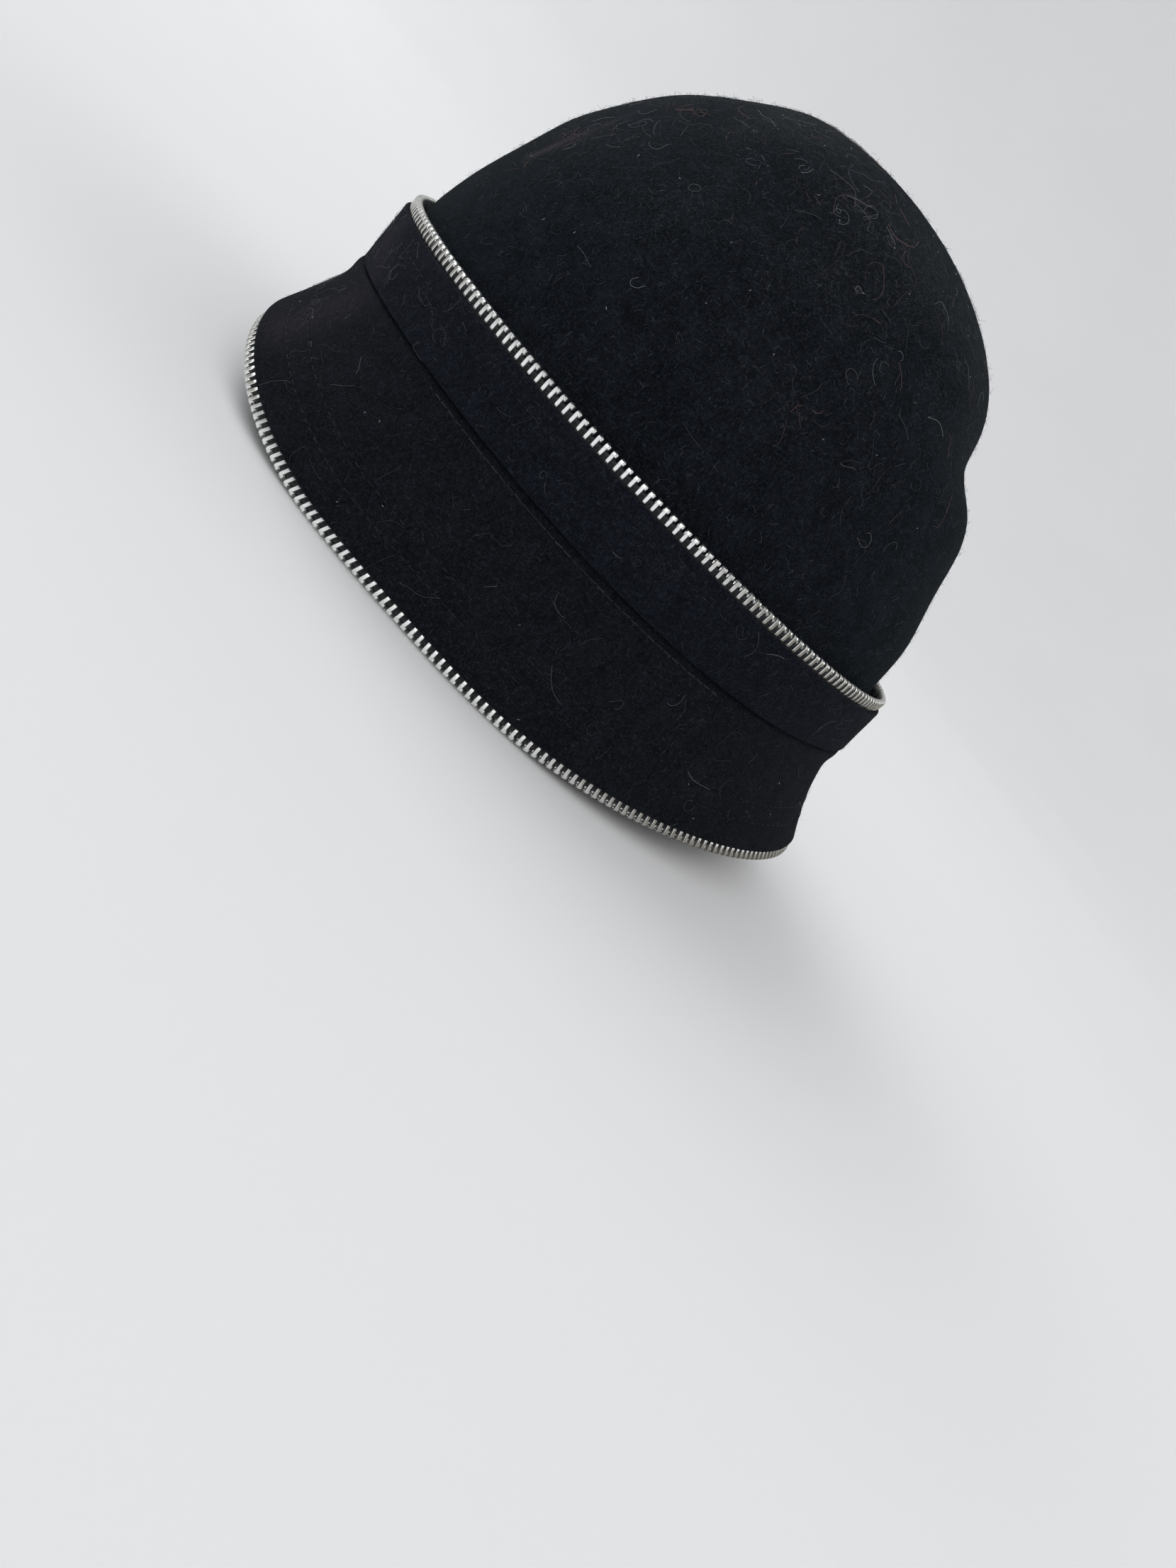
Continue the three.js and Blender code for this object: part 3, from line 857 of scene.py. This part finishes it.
def ride(obj, slot, *nodes):
    """Ties a piece to the hat's one body and hides the solids it stands for. slot is not used."""
    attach(obj, "root")
    if nodes:
        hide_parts(*nodes)
    return obj


def dressed(name, mesh, material, slot, *nodes):
    obj = link(bpy.data.objects.new(name, mesh))
    mesh.materials.clear()
    mesh.materials.append(material)
    return ride(obj, slot, *nodes)


crown = dressed("crown_felt", crown_piece(), FELT_CROWN, "felt", "crown")
brim = dressed("brim_felt", brim_piece(), FELT_BRIM, "felt", "brim")
band = dressed("band_felt", band_piece(), FELT_BAND, "felt", "band")


# Zip
# A tooth's outline and its nib's, seen along the tape: out of its face and up, in millimetres
TOOTH_OUTLINE = [
    (-1.20, -0.95), (-1.20, 1.15), (-0.95, 1.65), (-0.45, 1.93),
    (0.45, 1.93), (0.95, 1.65), (1.20, 1.15), (1.20, -0.95),
    (0.86, -1.78), (0.36, -1.78), (0.30, -0.15),
    (-0.30, -0.15), (-0.36, -1.78), (-0.86, -1.78),
]
NIB_OUTLINE = [
    (-1.10, 0.85), (-1.10, 1.30), (-0.75, 1.78), (0.75, 1.78),
    (1.10, 1.30), (1.10, 0.85), (0.75, 0.45), (-0.75, 0.45),
]
TOOTH_HALF = 0.52
TOOTH_BEVEL = 0.12
PIT_HEIGHT = 0.85
NIB_HEIGHT = 1.1


def bevelled(y, z, inset):
    """A point of the tooth's outline drawn in for its bevel."""
    if not inset:
        return y, z
    if abs(y) > 0.4:
        y = y - math.copysign(min(inset, abs(y) * 0.5), y)
    else:
        y = y + math.copysign(inset * 0.6, y)
    if z > 0:
        return y, z - inset
    return y, z + inset * (1 if z < -1 else -0.6)


def one_tooth():
    """One stamped tooth: legs down each side of the tape, a rounded head and a nib on one side.
    X runs along the tape, Y out of its face, Z up; the size is in metres."""
    half, bevel = TOOTH_HALF, TOOTH_BEVEL
    verts, faces = [], []
    count = len(TOOTH_OUTLINE)
    for x, inset in ((-half, bevel), (-half + bevel, 0.0), (half - bevel, 0.0), (half, bevel)):
        verts.extend((x, *bevelled(y, z, inset)) for y, z in TOOTH_OUTLINE)
    for ring in range(3):
        for k in range(count):
            n = (k + 1) % count
            a, b = ring * count, (ring + 1) * count
            faces.append((a + k, b + k, b + n, a + n))
    left = list(range(count))
    right = [3 * count + k for k in range(count)]
    for side, flip in ((left, False), (right, True)):
        for part in ((0, 1, 11, 12, 13), (1, 2, 3, 4, 5, 6, 10, 11), (6, 7, 8, 9, 10)):
            face = [side[k] for k in part]
            if len(part) < 8 or flip:
                faces.append(tuple(face[::-1] if flip else face))
                continue
            pit = len(verts)
            for x, share in ((-half, 0.72), (-half + 0.42, 0.58)):
                for k in part:
                    y, z = verts[k][1], verts[k][2]
                    verts.append((x, y * share, PIT_HEIGHT + (z - PIT_HEIGHT) * share))
            for ring in ([*face], [pit + k for k in range(8)]):
                inner = [pit + k + (8 if ring[0] == pit else 0) for k in range(8)]
                faces.extend((ring[k], ring[(k + 1) % 8], inner[(k + 1) % 8], inner[k]) for k in range(8))
            faces.append(tuple(pit + 8 + k for k in range(8)))
    base = len(verts)
    for x, share in ((half - 0.2, 1.0), (half + 0.34, 0.96), (half + 0.52, 0.78)):
        for y, z in NIB_OUTLINE:
            verts.append((x, y * share, NIB_HEIGHT + (z - NIB_HEIGHT) * share))
    n8 = len(NIB_OUTLINE)
    for ring in range(2):
        for k in range(n8):
            n = (k + 1) % n8
            a, b = base + ring * n8, base + (ring + 1) * n8
            faces.append((a + k, b + k, b + n, a + n))
    faces.append(tuple(base + 2 * n8 + k for k in range(n8))[::-1])
    faces.append(tuple(base + k for k in range(n8)))
    mesh = bpy.data.meshes.new("tooth")
    mesh.from_pydata([(x * MM, y * MM, z * MM) for x, y, z in verts], [], faces)
    mesh.validate()
    bm = bmesh.new()
    bm.from_mesh(mesh)
    bmesh.ops.recalc_face_normals(bm, faces=bm.faces)
    bm.to_mesh(mesh)
    bm.free()
    shade_smooth(mesh)
    mesh.set_sharp_from_angle(angle=math.radians(34))
    return mesh


def stood_along(tree, start, piece, shake, seed, **more):
    """Copies of a piece at even steps along a path, standing on its up vectors, each a little askew."""
    curve = out(add(tree, "GeometryNodeMeshToCurve", {"Mesh": out(start, "Geometry")}))
    steps = {"Curve": curve, "Count": out(start, "Count")}
    even = out(add(tree, "GeometryNodeResampleCurve", steps, mode="COUNT"))
    tangent = out(add(tree, "GeometryNodeInputTangent"))
    up = add(tree, "GeometryNodeInputNamedAttribute", {"Name": "up"}, data_type="FLOAT_VECTOR")
    axes = {"Primary Axis": out(up, "Attribute"), "Secondary Axis": tangent}
    turn = out(add(tree, "FunctionNodeAxesToRotation", axes, primary_axis="Z", secondary_axis="X"))
    turned = turned_by(tree, turn, random_value(tree, tuple(-most for most in shake), shake, seed))
    copied = out(add(tree, "GeometryNodeObjectInfo", {"Object": out(start, piece)}), "Geometry")
    values = {"Points": even, "Instance": copied, "Rotation": turned, **more}
    return out(add(tree, "GeometryNodeInstanceOnPoints", values))


def tooth_row_tree():
    """A row of equal teeth along a path."""
    tree = tree_with("tooth_row", [("Tooth", "Object"), ("Count", "Int"), ("Material", "Material")])
    start = add(tree, "NodeGroupInput")
    row = stood_along(tree, start, "Tooth", (0.03, 0.03, 0.03), 3)
    finish_tree(tree, row, out(start, "Material"))
    return tree


TOOTH_ROW = tooth_row_tree()
tooth = link(bpy.data.objects.new("tooth", one_tooth()))

DENSE = 1440
TOOTH_INSET = BAND_FELT + CLEARANCE + TAPE_THICK / 2 - BAND_STAND_OFF
RIM_TOOTH_INSET = FELT + CLEARANCE + TAPE_THICK / 2
RIM_TOOTH_DOWN = 1.5
RIM_BACK_RADIUS = 113
SEAM_GAP = 6.5
FLOOR_GAP = 0.02


def tooth_ring(angle, height):
    x, y = oval(angle, ZIP_RING, -TOOTH_INSET)
    return points(x, y, height)


def level_out(path):
    """Level vectors that point out of a closed path round the hat."""
    return unit(np.cross(np.roll(path, -1, 0) - np.roll(path, 1, 0), (0, 0, 1)))


def path_length(path, closed):
    steps = np.diff(path, axis=0, append=path[:1]) if closed else np.diff(path, axis=0)
    return np.linalg.norm(steps, axis=-1).sum()


band_path = stand(tooth_ring(full_turn(DENSE), 0))
band_up = np.broadcast_to(lean(points(0, 0, 1)), band_path.shape)

GAP_SHARE = SEAM_GAP / RIM_BACK_RADIUS
rim_angle = BACK + np.linspace(GAP_SHARE, TURN - GAP_SHARE, DENSE)
rim_edge, rim_out, rim_down = rim_frame(rim_angle)
rim_path = rim_edge - rim_out * RIM_TOOTH_INSET + rim_down * RIM_TOOTH_DOWN
lowest = (rim_path + rim_down * TOOTH_ABOVE - rim_out * 0.8)[:, 2]
rim_path[:, 2] += np.maximum(FLOOR_GAP - lowest, 0)


def zip_row(name, path, closed, up):
    count = round(path_length(path, closed) / TOOTH_PITCH)
    values = {"Tooth": tooth, "Count": count, "Material": METAL}
    return grow(name, path_mesh(name + "_path", path, closed, up=up), TOOTH_ROW, values)


band_teeth = zip_row("band_teeth", band_path, True, band_up)
rim_teeth = zip_row("rim_teeth", rim_path, False, rim_down)
bpy.data.objects.remove(tooth)
ride(band_teeth, "teeth", "band_zip_teeth")
ride(rim_teeth, "teeth", "rim_zip_teeth")

BEAD = 0.52
BEAD_BELOW = 0.25
BEAD_TURN = 0.92 * 1.6 * math.pi / 2
RIM_BEAD_DOWN = 1.35
RIM_BEAD_GAP = 0.3
BRIM_LENGTH = 40
TAPE_STEPS = 6


def tape_rows(middle, across, along, length):
    """Section rows of a tape: down its outside, up its inside, with a corded bead at the toothed edge.
    middle is the path at the bead, across points out of the face and along points to the toothed edge."""
    rows = []
    for t in np.linspace(BEAD_TURN, -BEAD_TURN, 9):
        rows.append(middle + across * (BEAD * math.sin(t)) + along * (BEAD * math.cos(t)))
    shares = np.linspace(0.12, 1, TAPE_STEPS)
    for side, run in ((-1, shares), (1, shares[::-1])):
        rows.extend(middle + across * (side * TAPE_THICK / 2) - along * (length * share) for share in run)
    return np.stack(rows)


def band_liner(level, angle):
    """Points on the band's inner face."""
    return stand(band_at(level, angle, BAND_FELT + CLEARANCE))


tape_angle = full_turn(AROUND * 2)
tape_middle = stand(tooth_ring(tape_angle, -BEAD_BELOW))
tape_out = level_out(tape_middle)
band_reach = BAND_TAPE_SHARE * (BAND_TOP - band_foot(tape_angle)) - BEAD_BELOW - TOOTH_BELOW
band_along = unit(band_liner(0, tape_angle) - band_liner(BAND_TAPE_SHARE, tape_angle))
band_rows = tape_rows(tape_middle, tape_out, band_along, band_reach[:, None])
dressed("band_tape", ring_mesh("band_tape", band_rows), TAPE, "tape", "band_zip_tape")

edge, outward, downward = rim_frame(tape_angle)
rim_middle = edge - outward * RIM_TOOTH_INSET + downward * RIM_BEAD_DOWN
rim_middle[:, 2] += np.maximum(BEAD + RIM_BEAD_GAP - rim_middle[:, 2], 0)
rim_rows = tape_rows(rim_middle, outward, downward, RIM_TAPE_SHARE * BRIM_LENGTH)
dressed("rim_tape", ring_mesh("rim_tape", rim_rows), TAPE, "tape", "rim_zip_tape")


# Stitches
# Places along a stitch: along, up and a share of its thickness
STITCH_BOW = [
    (-1.35, -0.30, 0.6), (-1.15, 0.02, 1.0), (-0.4, 0.13, 1.0),
    (0.4, 0.13, 1.0), (1.15, 0.02, 1.0), (1.35, -0.30, 0.6),
]


def one_stitch():
    """A short thread lying in a shallow bow, its ends turned down into the felt."""
    verts, faces = [], []
    for x, z, thick in STITCH_BOW:
        for k in range(5):
            t = k / 5 * TURN
            y = math.cos(t) * 0.17 * thick
            verts.append((x * MM, y * MM, (z + math.sin(t) * 0.15 * thick) * MM))
    for ring in range(len(STITCH_BOW) - 1):
        for k in range(5):
            n = (k + 1) % 5
            a, b = ring * 5, (ring + 1) * 5
            faces.append((a + k, a + n, b + n, b + k))
    faces.append(tuple(range(5))[::-1])
    faces.append(tuple(range(25, 30)))
    mesh = bpy.data.meshes.new("stitch")
    mesh.from_pydata(verts, [], faces)
    shade_smooth(mesh)
    return mesh


def stitch_row_tree():
    """A row of stitches along a path, each with a tone of its own."""
    sizes = [("Count", "Int"), ("Size", "Float")]
    tree = tree_with("stitch_row", [("Stitch", "Object"), *sizes, ("Material", "Material")])
    start = add(tree, "NodeGroupInput")
    row = stood_along(tree, start, "Stitch", (0.05, 0.05, 0.07), 5, Scale=out(start, "Size"))
    finish_tree(tree, tinted(tree, row, 9), out(start, "Material"))
    return tree


STITCH_ROW = stitch_row_tree()
stitch = link(bpy.data.objects.new("stitch", one_stitch()))


def brim_line(angle, below=None, left=None):
    """Points and normals on the brim's face, at a length below the band's foot or left to the rim."""
    levels = np.linspace(BRIM_TURN, 1, 121)[:, None]
    run = lengths_along(brim_outside(levels, angle[None]))
    want = np.full(len(angle), below) if below is not None else run[-1] - left
    level = np.array([np.interp(w, run[:, i], levels[:, 0]) for i, w in enumerate(want)])
    return brim_outside(level, angle), brim_normal(level, angle)


def sewn_row(name, path, up, pitch, size, material=THREAD):
    count = round(path_length(path, True) / pitch)
    values = {"Stitch": stitch, "Count": count, "Size": size, "Material": material}
    row = grow(name, path_mesh(name + "_path", path, True, up=up), STITCH_ROW, values)
    return ride(row, "felt")


STITCH_PITCH = 3.1
LIP_PITCH = 2.95
LIP_ROW_BELOW = 2.7
TOP_ROW_BELOW = 5.0

line_angle = full_turn(720)
face, face_out = brim_line(line_angle, below=LIP_ROW_BELOW)
shown = lip_share(line_angle)[:, None]
face = face + face_out * (RISE_UNDER_BAND + 0.16 * shown - 0.55 * (1 - shown))
# the row below the band uses the thread made paler with painted highlight
sewn_row("stitches_below_band", face, face_out, LIP_PITCH, 1.0, HIGHLIGHT_LIP_THREAD)
face, face_out = brim_line(line_angle, left=ROW_LOW)
sewn_row("stitches_rim_low", face - face_out * 0.15, face_out, STITCH_PITCH, 0.75)
face, face_out = brim_line(line_angle, left=ROW_HIGH)
sewn_row("stitches_rim_high", face - face_out * 0.13, face_out, STITCH_PITCH, 0.75)
top_line = stand(band_at(TOP_ROW_BELOW / (BAND_TOP - band_foot(line_angle)), line_angle, 0.06))
top_out = level_out(top_line)
sewn_row("stitches_band_top", top_line - top_out * 0.10, top_out, STITCH_PITCH, 0.8)
bpy.data.objects.remove(stitch)


# Fuzz and lint
def fuzz_tree():
    """Short bent fibres standing off a felt face."""
    sizes = [("Density", "Float"), ("Length", "Float"), ("Thickness", "Float"), ("Seed", "Int")]
    tree = tree_with("felt_fuzz", [*sizes, ("Material", "Material")])
    start = add(tree, "NodeGroupInput")
    values = {"Mesh": out(start, "Geometry"), "Density": out(start, "Density"), "Seed": out(start, "Seed")}
    spread = add(tree, "GeometryNodeDistributePointsOnFaces", values, distribute_method="RANDOM")
    ends = {"Start": (0, 0, -0.0001), "End": (0, 0, 0.001)}
    line = out(add(tree, "GeometryNodeCurvePrimitiveLine", ends, mode="POINTS"))
    bits = out(add(tree, "GeometryNodeResampleCurve", {"Curve": line, "Count": 5}, mode="COUNT"))
    lay = random_value(tree, (1.05, 0.0, -3.14), (1.5, 0.0, 3.14), 11)
    turned = turned_by(tree, out(spread, "Rotation"), lay)
    long = maths(tree, "MULTIPLY", random_value(tree, 0.5, 1.6, 13), out(start, "Length"))
    values = {"Points": out(spread, "Points"), "Instance": bits, "Rotation": turned, "Scale": long}
    hairs = out(add(tree, "GeometryNodeInstanceOnPoints", values))
    real = out(add(tree, "GeometryNodeRealizeInstances", {"Geometry": tinted(tree, hairs, 17)}))
    place = out(add(tree, "GeometryNodeInputPosition"))
    curl = vectors(tree, "SUBTRACT", noise_texture(tree, place, 900.0, 0.0, "Color"), (0.5, 0.5, 0.5))
    share = maths(tree, "MULTIPLY", out(add(tree, "GeometryNodeSplineParameter"), "Factor"), 0.0022)
    push = vectors(tree, "SCALE", curl, scale=share)
    bent = out(add(tree, "GeometryNodeSetPosition", {"Geometry": real, "Offset": push}))
    finish_tree(tree, thin_tube(tree, bent, 3, out(start, "Thickness")), out(start, "Material"))
    return tree


FUZZ_TREE = fuzz_tree()


def outer_skin(name, mesh):
    """A copy of the faces of a felt piece that look away from the hat's middle."""
    bm = bmesh.new()
    bm.from_mesh(mesh)
    inner = []
    for face in bm.faces:
        centre = face.calc_center_median()
        away = Vector((centre.x, centre.y - CENTRE_SHIFT * MM, max(centre.z - 0.06, 0)))
        if face.normal.dot(away) <= 0:
            inner.append(face)
    bmesh.ops.delete(bm, geom=inner, context="FACES")
    skin = bpy.data.meshes.new(name)
    bm.to_mesh(skin)
    bm.free()
    return skin


def fuzz_on(name, piece, density, length, thickness, seed):
    skin = outer_skin(name + "_skin", piece.data)
    sizes = {"Density": density, "Length": length, "Thickness": thickness, "Seed": seed}
    return ride(grow(name, skin, FUZZ_TREE, {**sizes, "Material": FUZZ}), "felt")


fuzz_on("fuzz_crown", crown, density=120000.0, length=1.5, thickness=0.000024, seed=1)
fuzz_on("fuzz_brim", brim, density=40000.0, length=1.3, thickness=0.00002, seed=2)
fuzz_on("fuzz_band", band, density=50000.0, length=1.3, thickness=0.00002, seed=3)


def strand_tree():
    """Loose strands: each run of edges becomes a thin thread."""
    tree = tree_with("lint_strands", [("Thickness", "Float"), ("Material", "Material")])
    start = add(tree, "NodeGroupInput")
    curve = out(add(tree, "GeometryNodeMeshToCurve", {"Mesh": out(start, "Geometry")}))
    finish_tree(tree, thin_tube(tree, curve, 4, out(start, "Thickness")), out(start, "Material"))
    return tree


STRANDS = strand_tree()


def walk(rng, steps, step, curl):
    """A wandering path in the plane whose bend changes slowly."""
    heading = rng.uniform(0, TURN)
    bend = rng.normal(0, curl)
    here = np.zeros(2)
    path = [here]
    for _ in range(steps):
        bend = bend * 0.9 + rng.normal(0, curl * 0.45)
        heading += bend
        here = here + step * np.array([math.cos(heading), math.sin(heading)])
        path.append(here)
    return np.array(path)


STRAND_STEP = 0.45
PROBE = 0.01


def lint_on(name, surface, normal, spots, seed, thickness, material=LINT):
    """Strands laid on a surface, one for each spot: its level, angle, length in millimetres and tint."""
    rng = np.random.default_rng(seed)
    verts, edges, tints = [], [], []
    for level, angle, length, tint in spots:
        steps = max(5, int(length / STRAND_STEP))
        path = walk(rng, steps, length / steps, rng.choice([0.07, 0.14, 0.22, 0.32]))
        here = surface(np.array(level), np.array(angle))
        ahead = surface(np.array(level), np.array(angle + PROBE)) - here
        upper = surface(np.array(level + PROBE), np.array(angle)) - here
        per_turn = PROBE / max(np.linalg.norm(ahead), 1e-6)
        per_rise = PROBE / max(np.linalg.norm(upper), 1e-6)
        levels = np.clip(level + path[:, 1] * per_rise, 0.02, 0.995)
        angles = angle + path[:, 0] * per_turn
        phase = np.linspace(0, rng.uniform(2, 7), steps + 1) + rng.uniform(0, 3)
        lift = 0.05 + 0.20 * np.abs(np.sin(phase))
        p = surface(levels, angles) + normal(levels, angles) * lift[:, None]
        base = len(verts)
        verts.extend(p.tolist())
        edges.extend((base + i, base + i + 1) for i in range(steps))
        tints.extend([tint] * (steps + 1))
    mesh = bpy.data.meshes.new(name + "_path")
    mesh.from_pydata((np.array(verts) * MM).tolist(), edges, [])
    layer = mesh.attributes.new("tint", "FLOAT", "POINT")
    layer.data.foreach_set("value", np.array(tints, np.float32))
    return ride(grow(name, mesh, STRANDS, {"Thickness": thickness, "Material": material}), "felt")


def crown_face(level, angle):
    return stand(crown_outside(level, angle))


def crown_face_normal(level, angle):
    return lean(crown_base_normal(level, angle))


def band_face(level, angle):
    return stand(band_at(level, angle, 0))


def band_face_normal(level, angle):
    return normal_of(lambda share, around: band_face(1 - share, around), 1 - level, angle)


CROWN_FACE = (crown_face, crown_face_normal)
BRIM_FACE = (brim_outside, brim_normal)
BAND_FACE = (band_face, band_face_normal)
ALL_ROUND = (0, TURN)
lint_rng = np.random.default_rng(21)


def scattered(count, levels, angles, lengths):
    """Spots spread over a region. All three kinds of spot give a level, an angle, a length and a tint."""
    spots = []
    for _ in range(count):
        place = lint_rng.uniform(*levels), lint_rng.uniform(*angles)
        spots.append((*place, lint_rng.uniform(*lengths), lint_rng.beta(1.2, 2.2)))
    return spots


def specks(count, levels, angles):
    """Tiny bright bits caught in the felt."""
    spots = []
    for _ in range(count):
        place = lint_rng.uniform(*levels), lint_rng.uniform(*angles)
        spots.append((*place, lint_rng.uniform(0.25, 0.7), lint_rng.uniform(0.6, 3.0)))
    return spots


def tangle(count, level, angle, spread, lengths):
    """Strands caught together round one spot."""
    spots = []
    for _ in range(count):
        place = level + lint_rng.normal(0, spread), angle + lint_rng.normal(0, spread * 1.6)
        spots.append((*place, lint_rng.uniform(*lengths), lint_rng.beta(1.6, 1.8)))
    return spots


LINT_THICK = 0.000034
FINE_LINT_THICK = 0.000028
SPECK_THICK = 0.00006

crown_spots = scattered(170, (0.18, 0.97), ALL_ROUND, (2, 9))
crown_spots += scattered(55, (0.25, 0.75), (0.25, 1.2), (3, 10))
crown_spots += scattered(45, (0.52, 0.74), (-0.75, 0.30), (4, 14))
crown_spots += scattered(30, (0.26, 0.52), (-1.00, -0.70), (3, 9))
crown_spots += scattered(60, (0.72, 0.97), ALL_ROUND, (2, 8))
crown_spots += tangle(9, 0.38, -0.86, 0.03, (3, 9))
crown_spots += tangle(5, 0.62, -0.02, 0.05, (4, 12))
lint_on("lint_crown", *CROWN_FACE, crown_spots, seed=4, thickness=LINT_THICK)

warm_spots = scattered(60, (0.5, 0.95), (-1.2, 0.4), (2, 9))
warm_spots += scattered(25, (0.3, 0.8), (0.0, 1.4), (3, 10))
warm_spots += scattered(16, (0.24, 0.36), (-1.02, -0.92), (1.5, 5))
warm_spots += tangle(12, 0.53, -0.86, 0.02, (2, 8))
warm_spots += tangle(6, 0.69, 0.12, 0.05, (4, 14))
warm_spots += tangle(5, 0.31, 0.28, 0.02, (3, 8))
lint_on("warm_lint_crown", *CROWN_FACE, warm_spots, seed=8, thickness=LINT_THICK, material=WARM_LINT)
crown_specks = specks(90, (0.2, 0.97), ALL_ROUND)
lint_on("specks_crown", *CROWN_FACE, crown_specks, seed=9, thickness=SPECK_THICK)

brim_spots = scattered(150, (0.22, 0.97), ALL_ROUND, (2, 12))
brim_spots += scattered(50, (0.18, 0.8), (-1.35, -0.7), (2, 11))
lint_on("lint_brim", *BRIM_FACE, brim_spots, seed=5, thickness=FINE_LINT_THICK)
brim_specks = specks(45, (0.2, 0.97), ALL_ROUND)
lint_on("specks_brim", *BRIM_FACE, brim_specks, seed=10, thickness=SPECK_THICK)

band_spots = scattered(90, (0.1, 0.9), ALL_ROUND, (2, 9))
band_spots += scattered(40, (0.1, 0.95), (-1.3, -0.5), (2, 11))
lint_on("lint_band", *BAND_FACE, band_spots, seed=6, thickness=FINE_LINT_THICK)


# Floor, light and camera
# The floor's section: how far from the middle and how high, in metres
FLOOR_SECTION = [
    (0.0, 0.0), (0.2, 0.0), (0.5, 0.0), (0.9, 0.0), (1.3, 0.0), (1.7, 0.02),
    (2.1, 0.10), (2.5, 0.28), (2.85, 0.60), (3.1, 1.05), (3.2, 1.6), (3.22, 2.4),
]


def floor_piece():
    """A pale floor that curves up into a wall all round, so that no edge of it shows."""
    sides = 96
    verts, faces = [(0, 0, 0)], []
    for r, z in FLOOR_SECTION[1:]:
        for k in range(sides):
            t = k / sides * TURN
            verts.append((r * math.cos(t), r * math.sin(t), z))
    for k in range(sides):
        faces.append((0, 1 + k, 1 + (k + 1) % sides))
    for ring in range(len(FLOOR_SECTION) - 2):
        for k in range(sides):
            n = (k + 1) % sides
            a, b = 1 + ring * sides, 1 + (ring + 1) * sides
            faces.append((a + k, b + k, b + n, a + n))
    mesh = bpy.data.meshes.new("floor")
    mesh.from_pydata(verts, [], faces)
    shade_smooth(mesh)
    obj = link(bpy.data.objects.new("floor", mesh))
    mesh.materials.append(plain_floor())
    return obj


floor_piece()


LIGHTS_AIM = (0, 0, 0.08)


def soft_light(name, place, size, power, tone):
    data = bpy.data.lights.new(name, "AREA")
    data.shape = "RECTANGLE"
    data.size, data.size_y = size
    data.energy = power
    data.color = tone
    obj = link(bpy.data.objects.new(name, data))
    obj.location = place
    obj.rotation_euler = (Vector(LIGHTS_AIM) - Vector(place)).to_track_quat("-Z", "Y").to_euler()


soft_light("window_light", (-0.7, -1.9, 1.9), (2.2, 1.8), 30, (0.97, 0.985, 1.0))
soft_light("room_light", (1.9, 0.4, 1.5), (1.8, 1.4), 10, (1.0, 0.99, 0.97))
soft_light("back_light", (-0.6, 2.0, 1.6), (1.8, 1.4), 9, (1.0, 0.99, 0.97))

world = bpy.data.worlds.new("soft_room")
bpy.context.scene.world = world
world.use_nodes = True
background = world.node_tree.nodes["Background"]
background.inputs["Color"].default_value = colour(0.95, 0.965, 1.0)
background.inputs["Strength"].default_value = 0.52

# The camera's place and turn about the hat, in the hat's own frame, lengths in millimetres
VIEW_TURN = 1.4977
VIEW_RISE = 0.3397
VIEW_ROLL = 0.8433
VIEW_FAR = 345.7241
VIEW_SIDE = -22.157
VIEW_UP = -100.0547
FOCAL_PIXELS = 1595.7929
PHOTO_HIGH = 2212
SENSOR = 36.0


def photo_camera():
    level = math.cos(VIEW_RISE)
    back = [math.sin(VIEW_TURN) * level, -math.cos(VIEW_TURN) * level, math.sin(VIEW_RISE)]
    back = np.array(back)
    right = np.array([math.cos(VIEW_TURN), math.sin(VIEW_TURN), 0.0])
    up = np.cross(back, right)
    c, s = math.cos(VIEW_ROLL), math.sin(VIEW_ROLL)
    across, above = c * right + s * up, -s * right + c * up
    place = VIEW_SIDE * across + VIEW_UP * above + VIEW_FAR * back
    data = bpy.data.cameras.new("photo_camera")
    data.sensor_width = SENSOR
    data.lens = SENSOR * FOCAL_PIXELS / PHOTO_HIGH
    data.clip_start = 0.01
    data.clip_end = 50
    camera = link(bpy.data.objects.new("photo_camera", data))
    turn = Matrix([lean(across), lean(above), lean(back)]).transposed()
    camera.matrix_world = Matrix.Translation(Vector(stand(place) * MM)) @ turn.to_4x4()
    bpy.context.scene.camera = camera


photo_camera()
bpy.context.scene.view_settings.view_transform = "Standard"
bpy.context.scene.view_settings.look = "None"
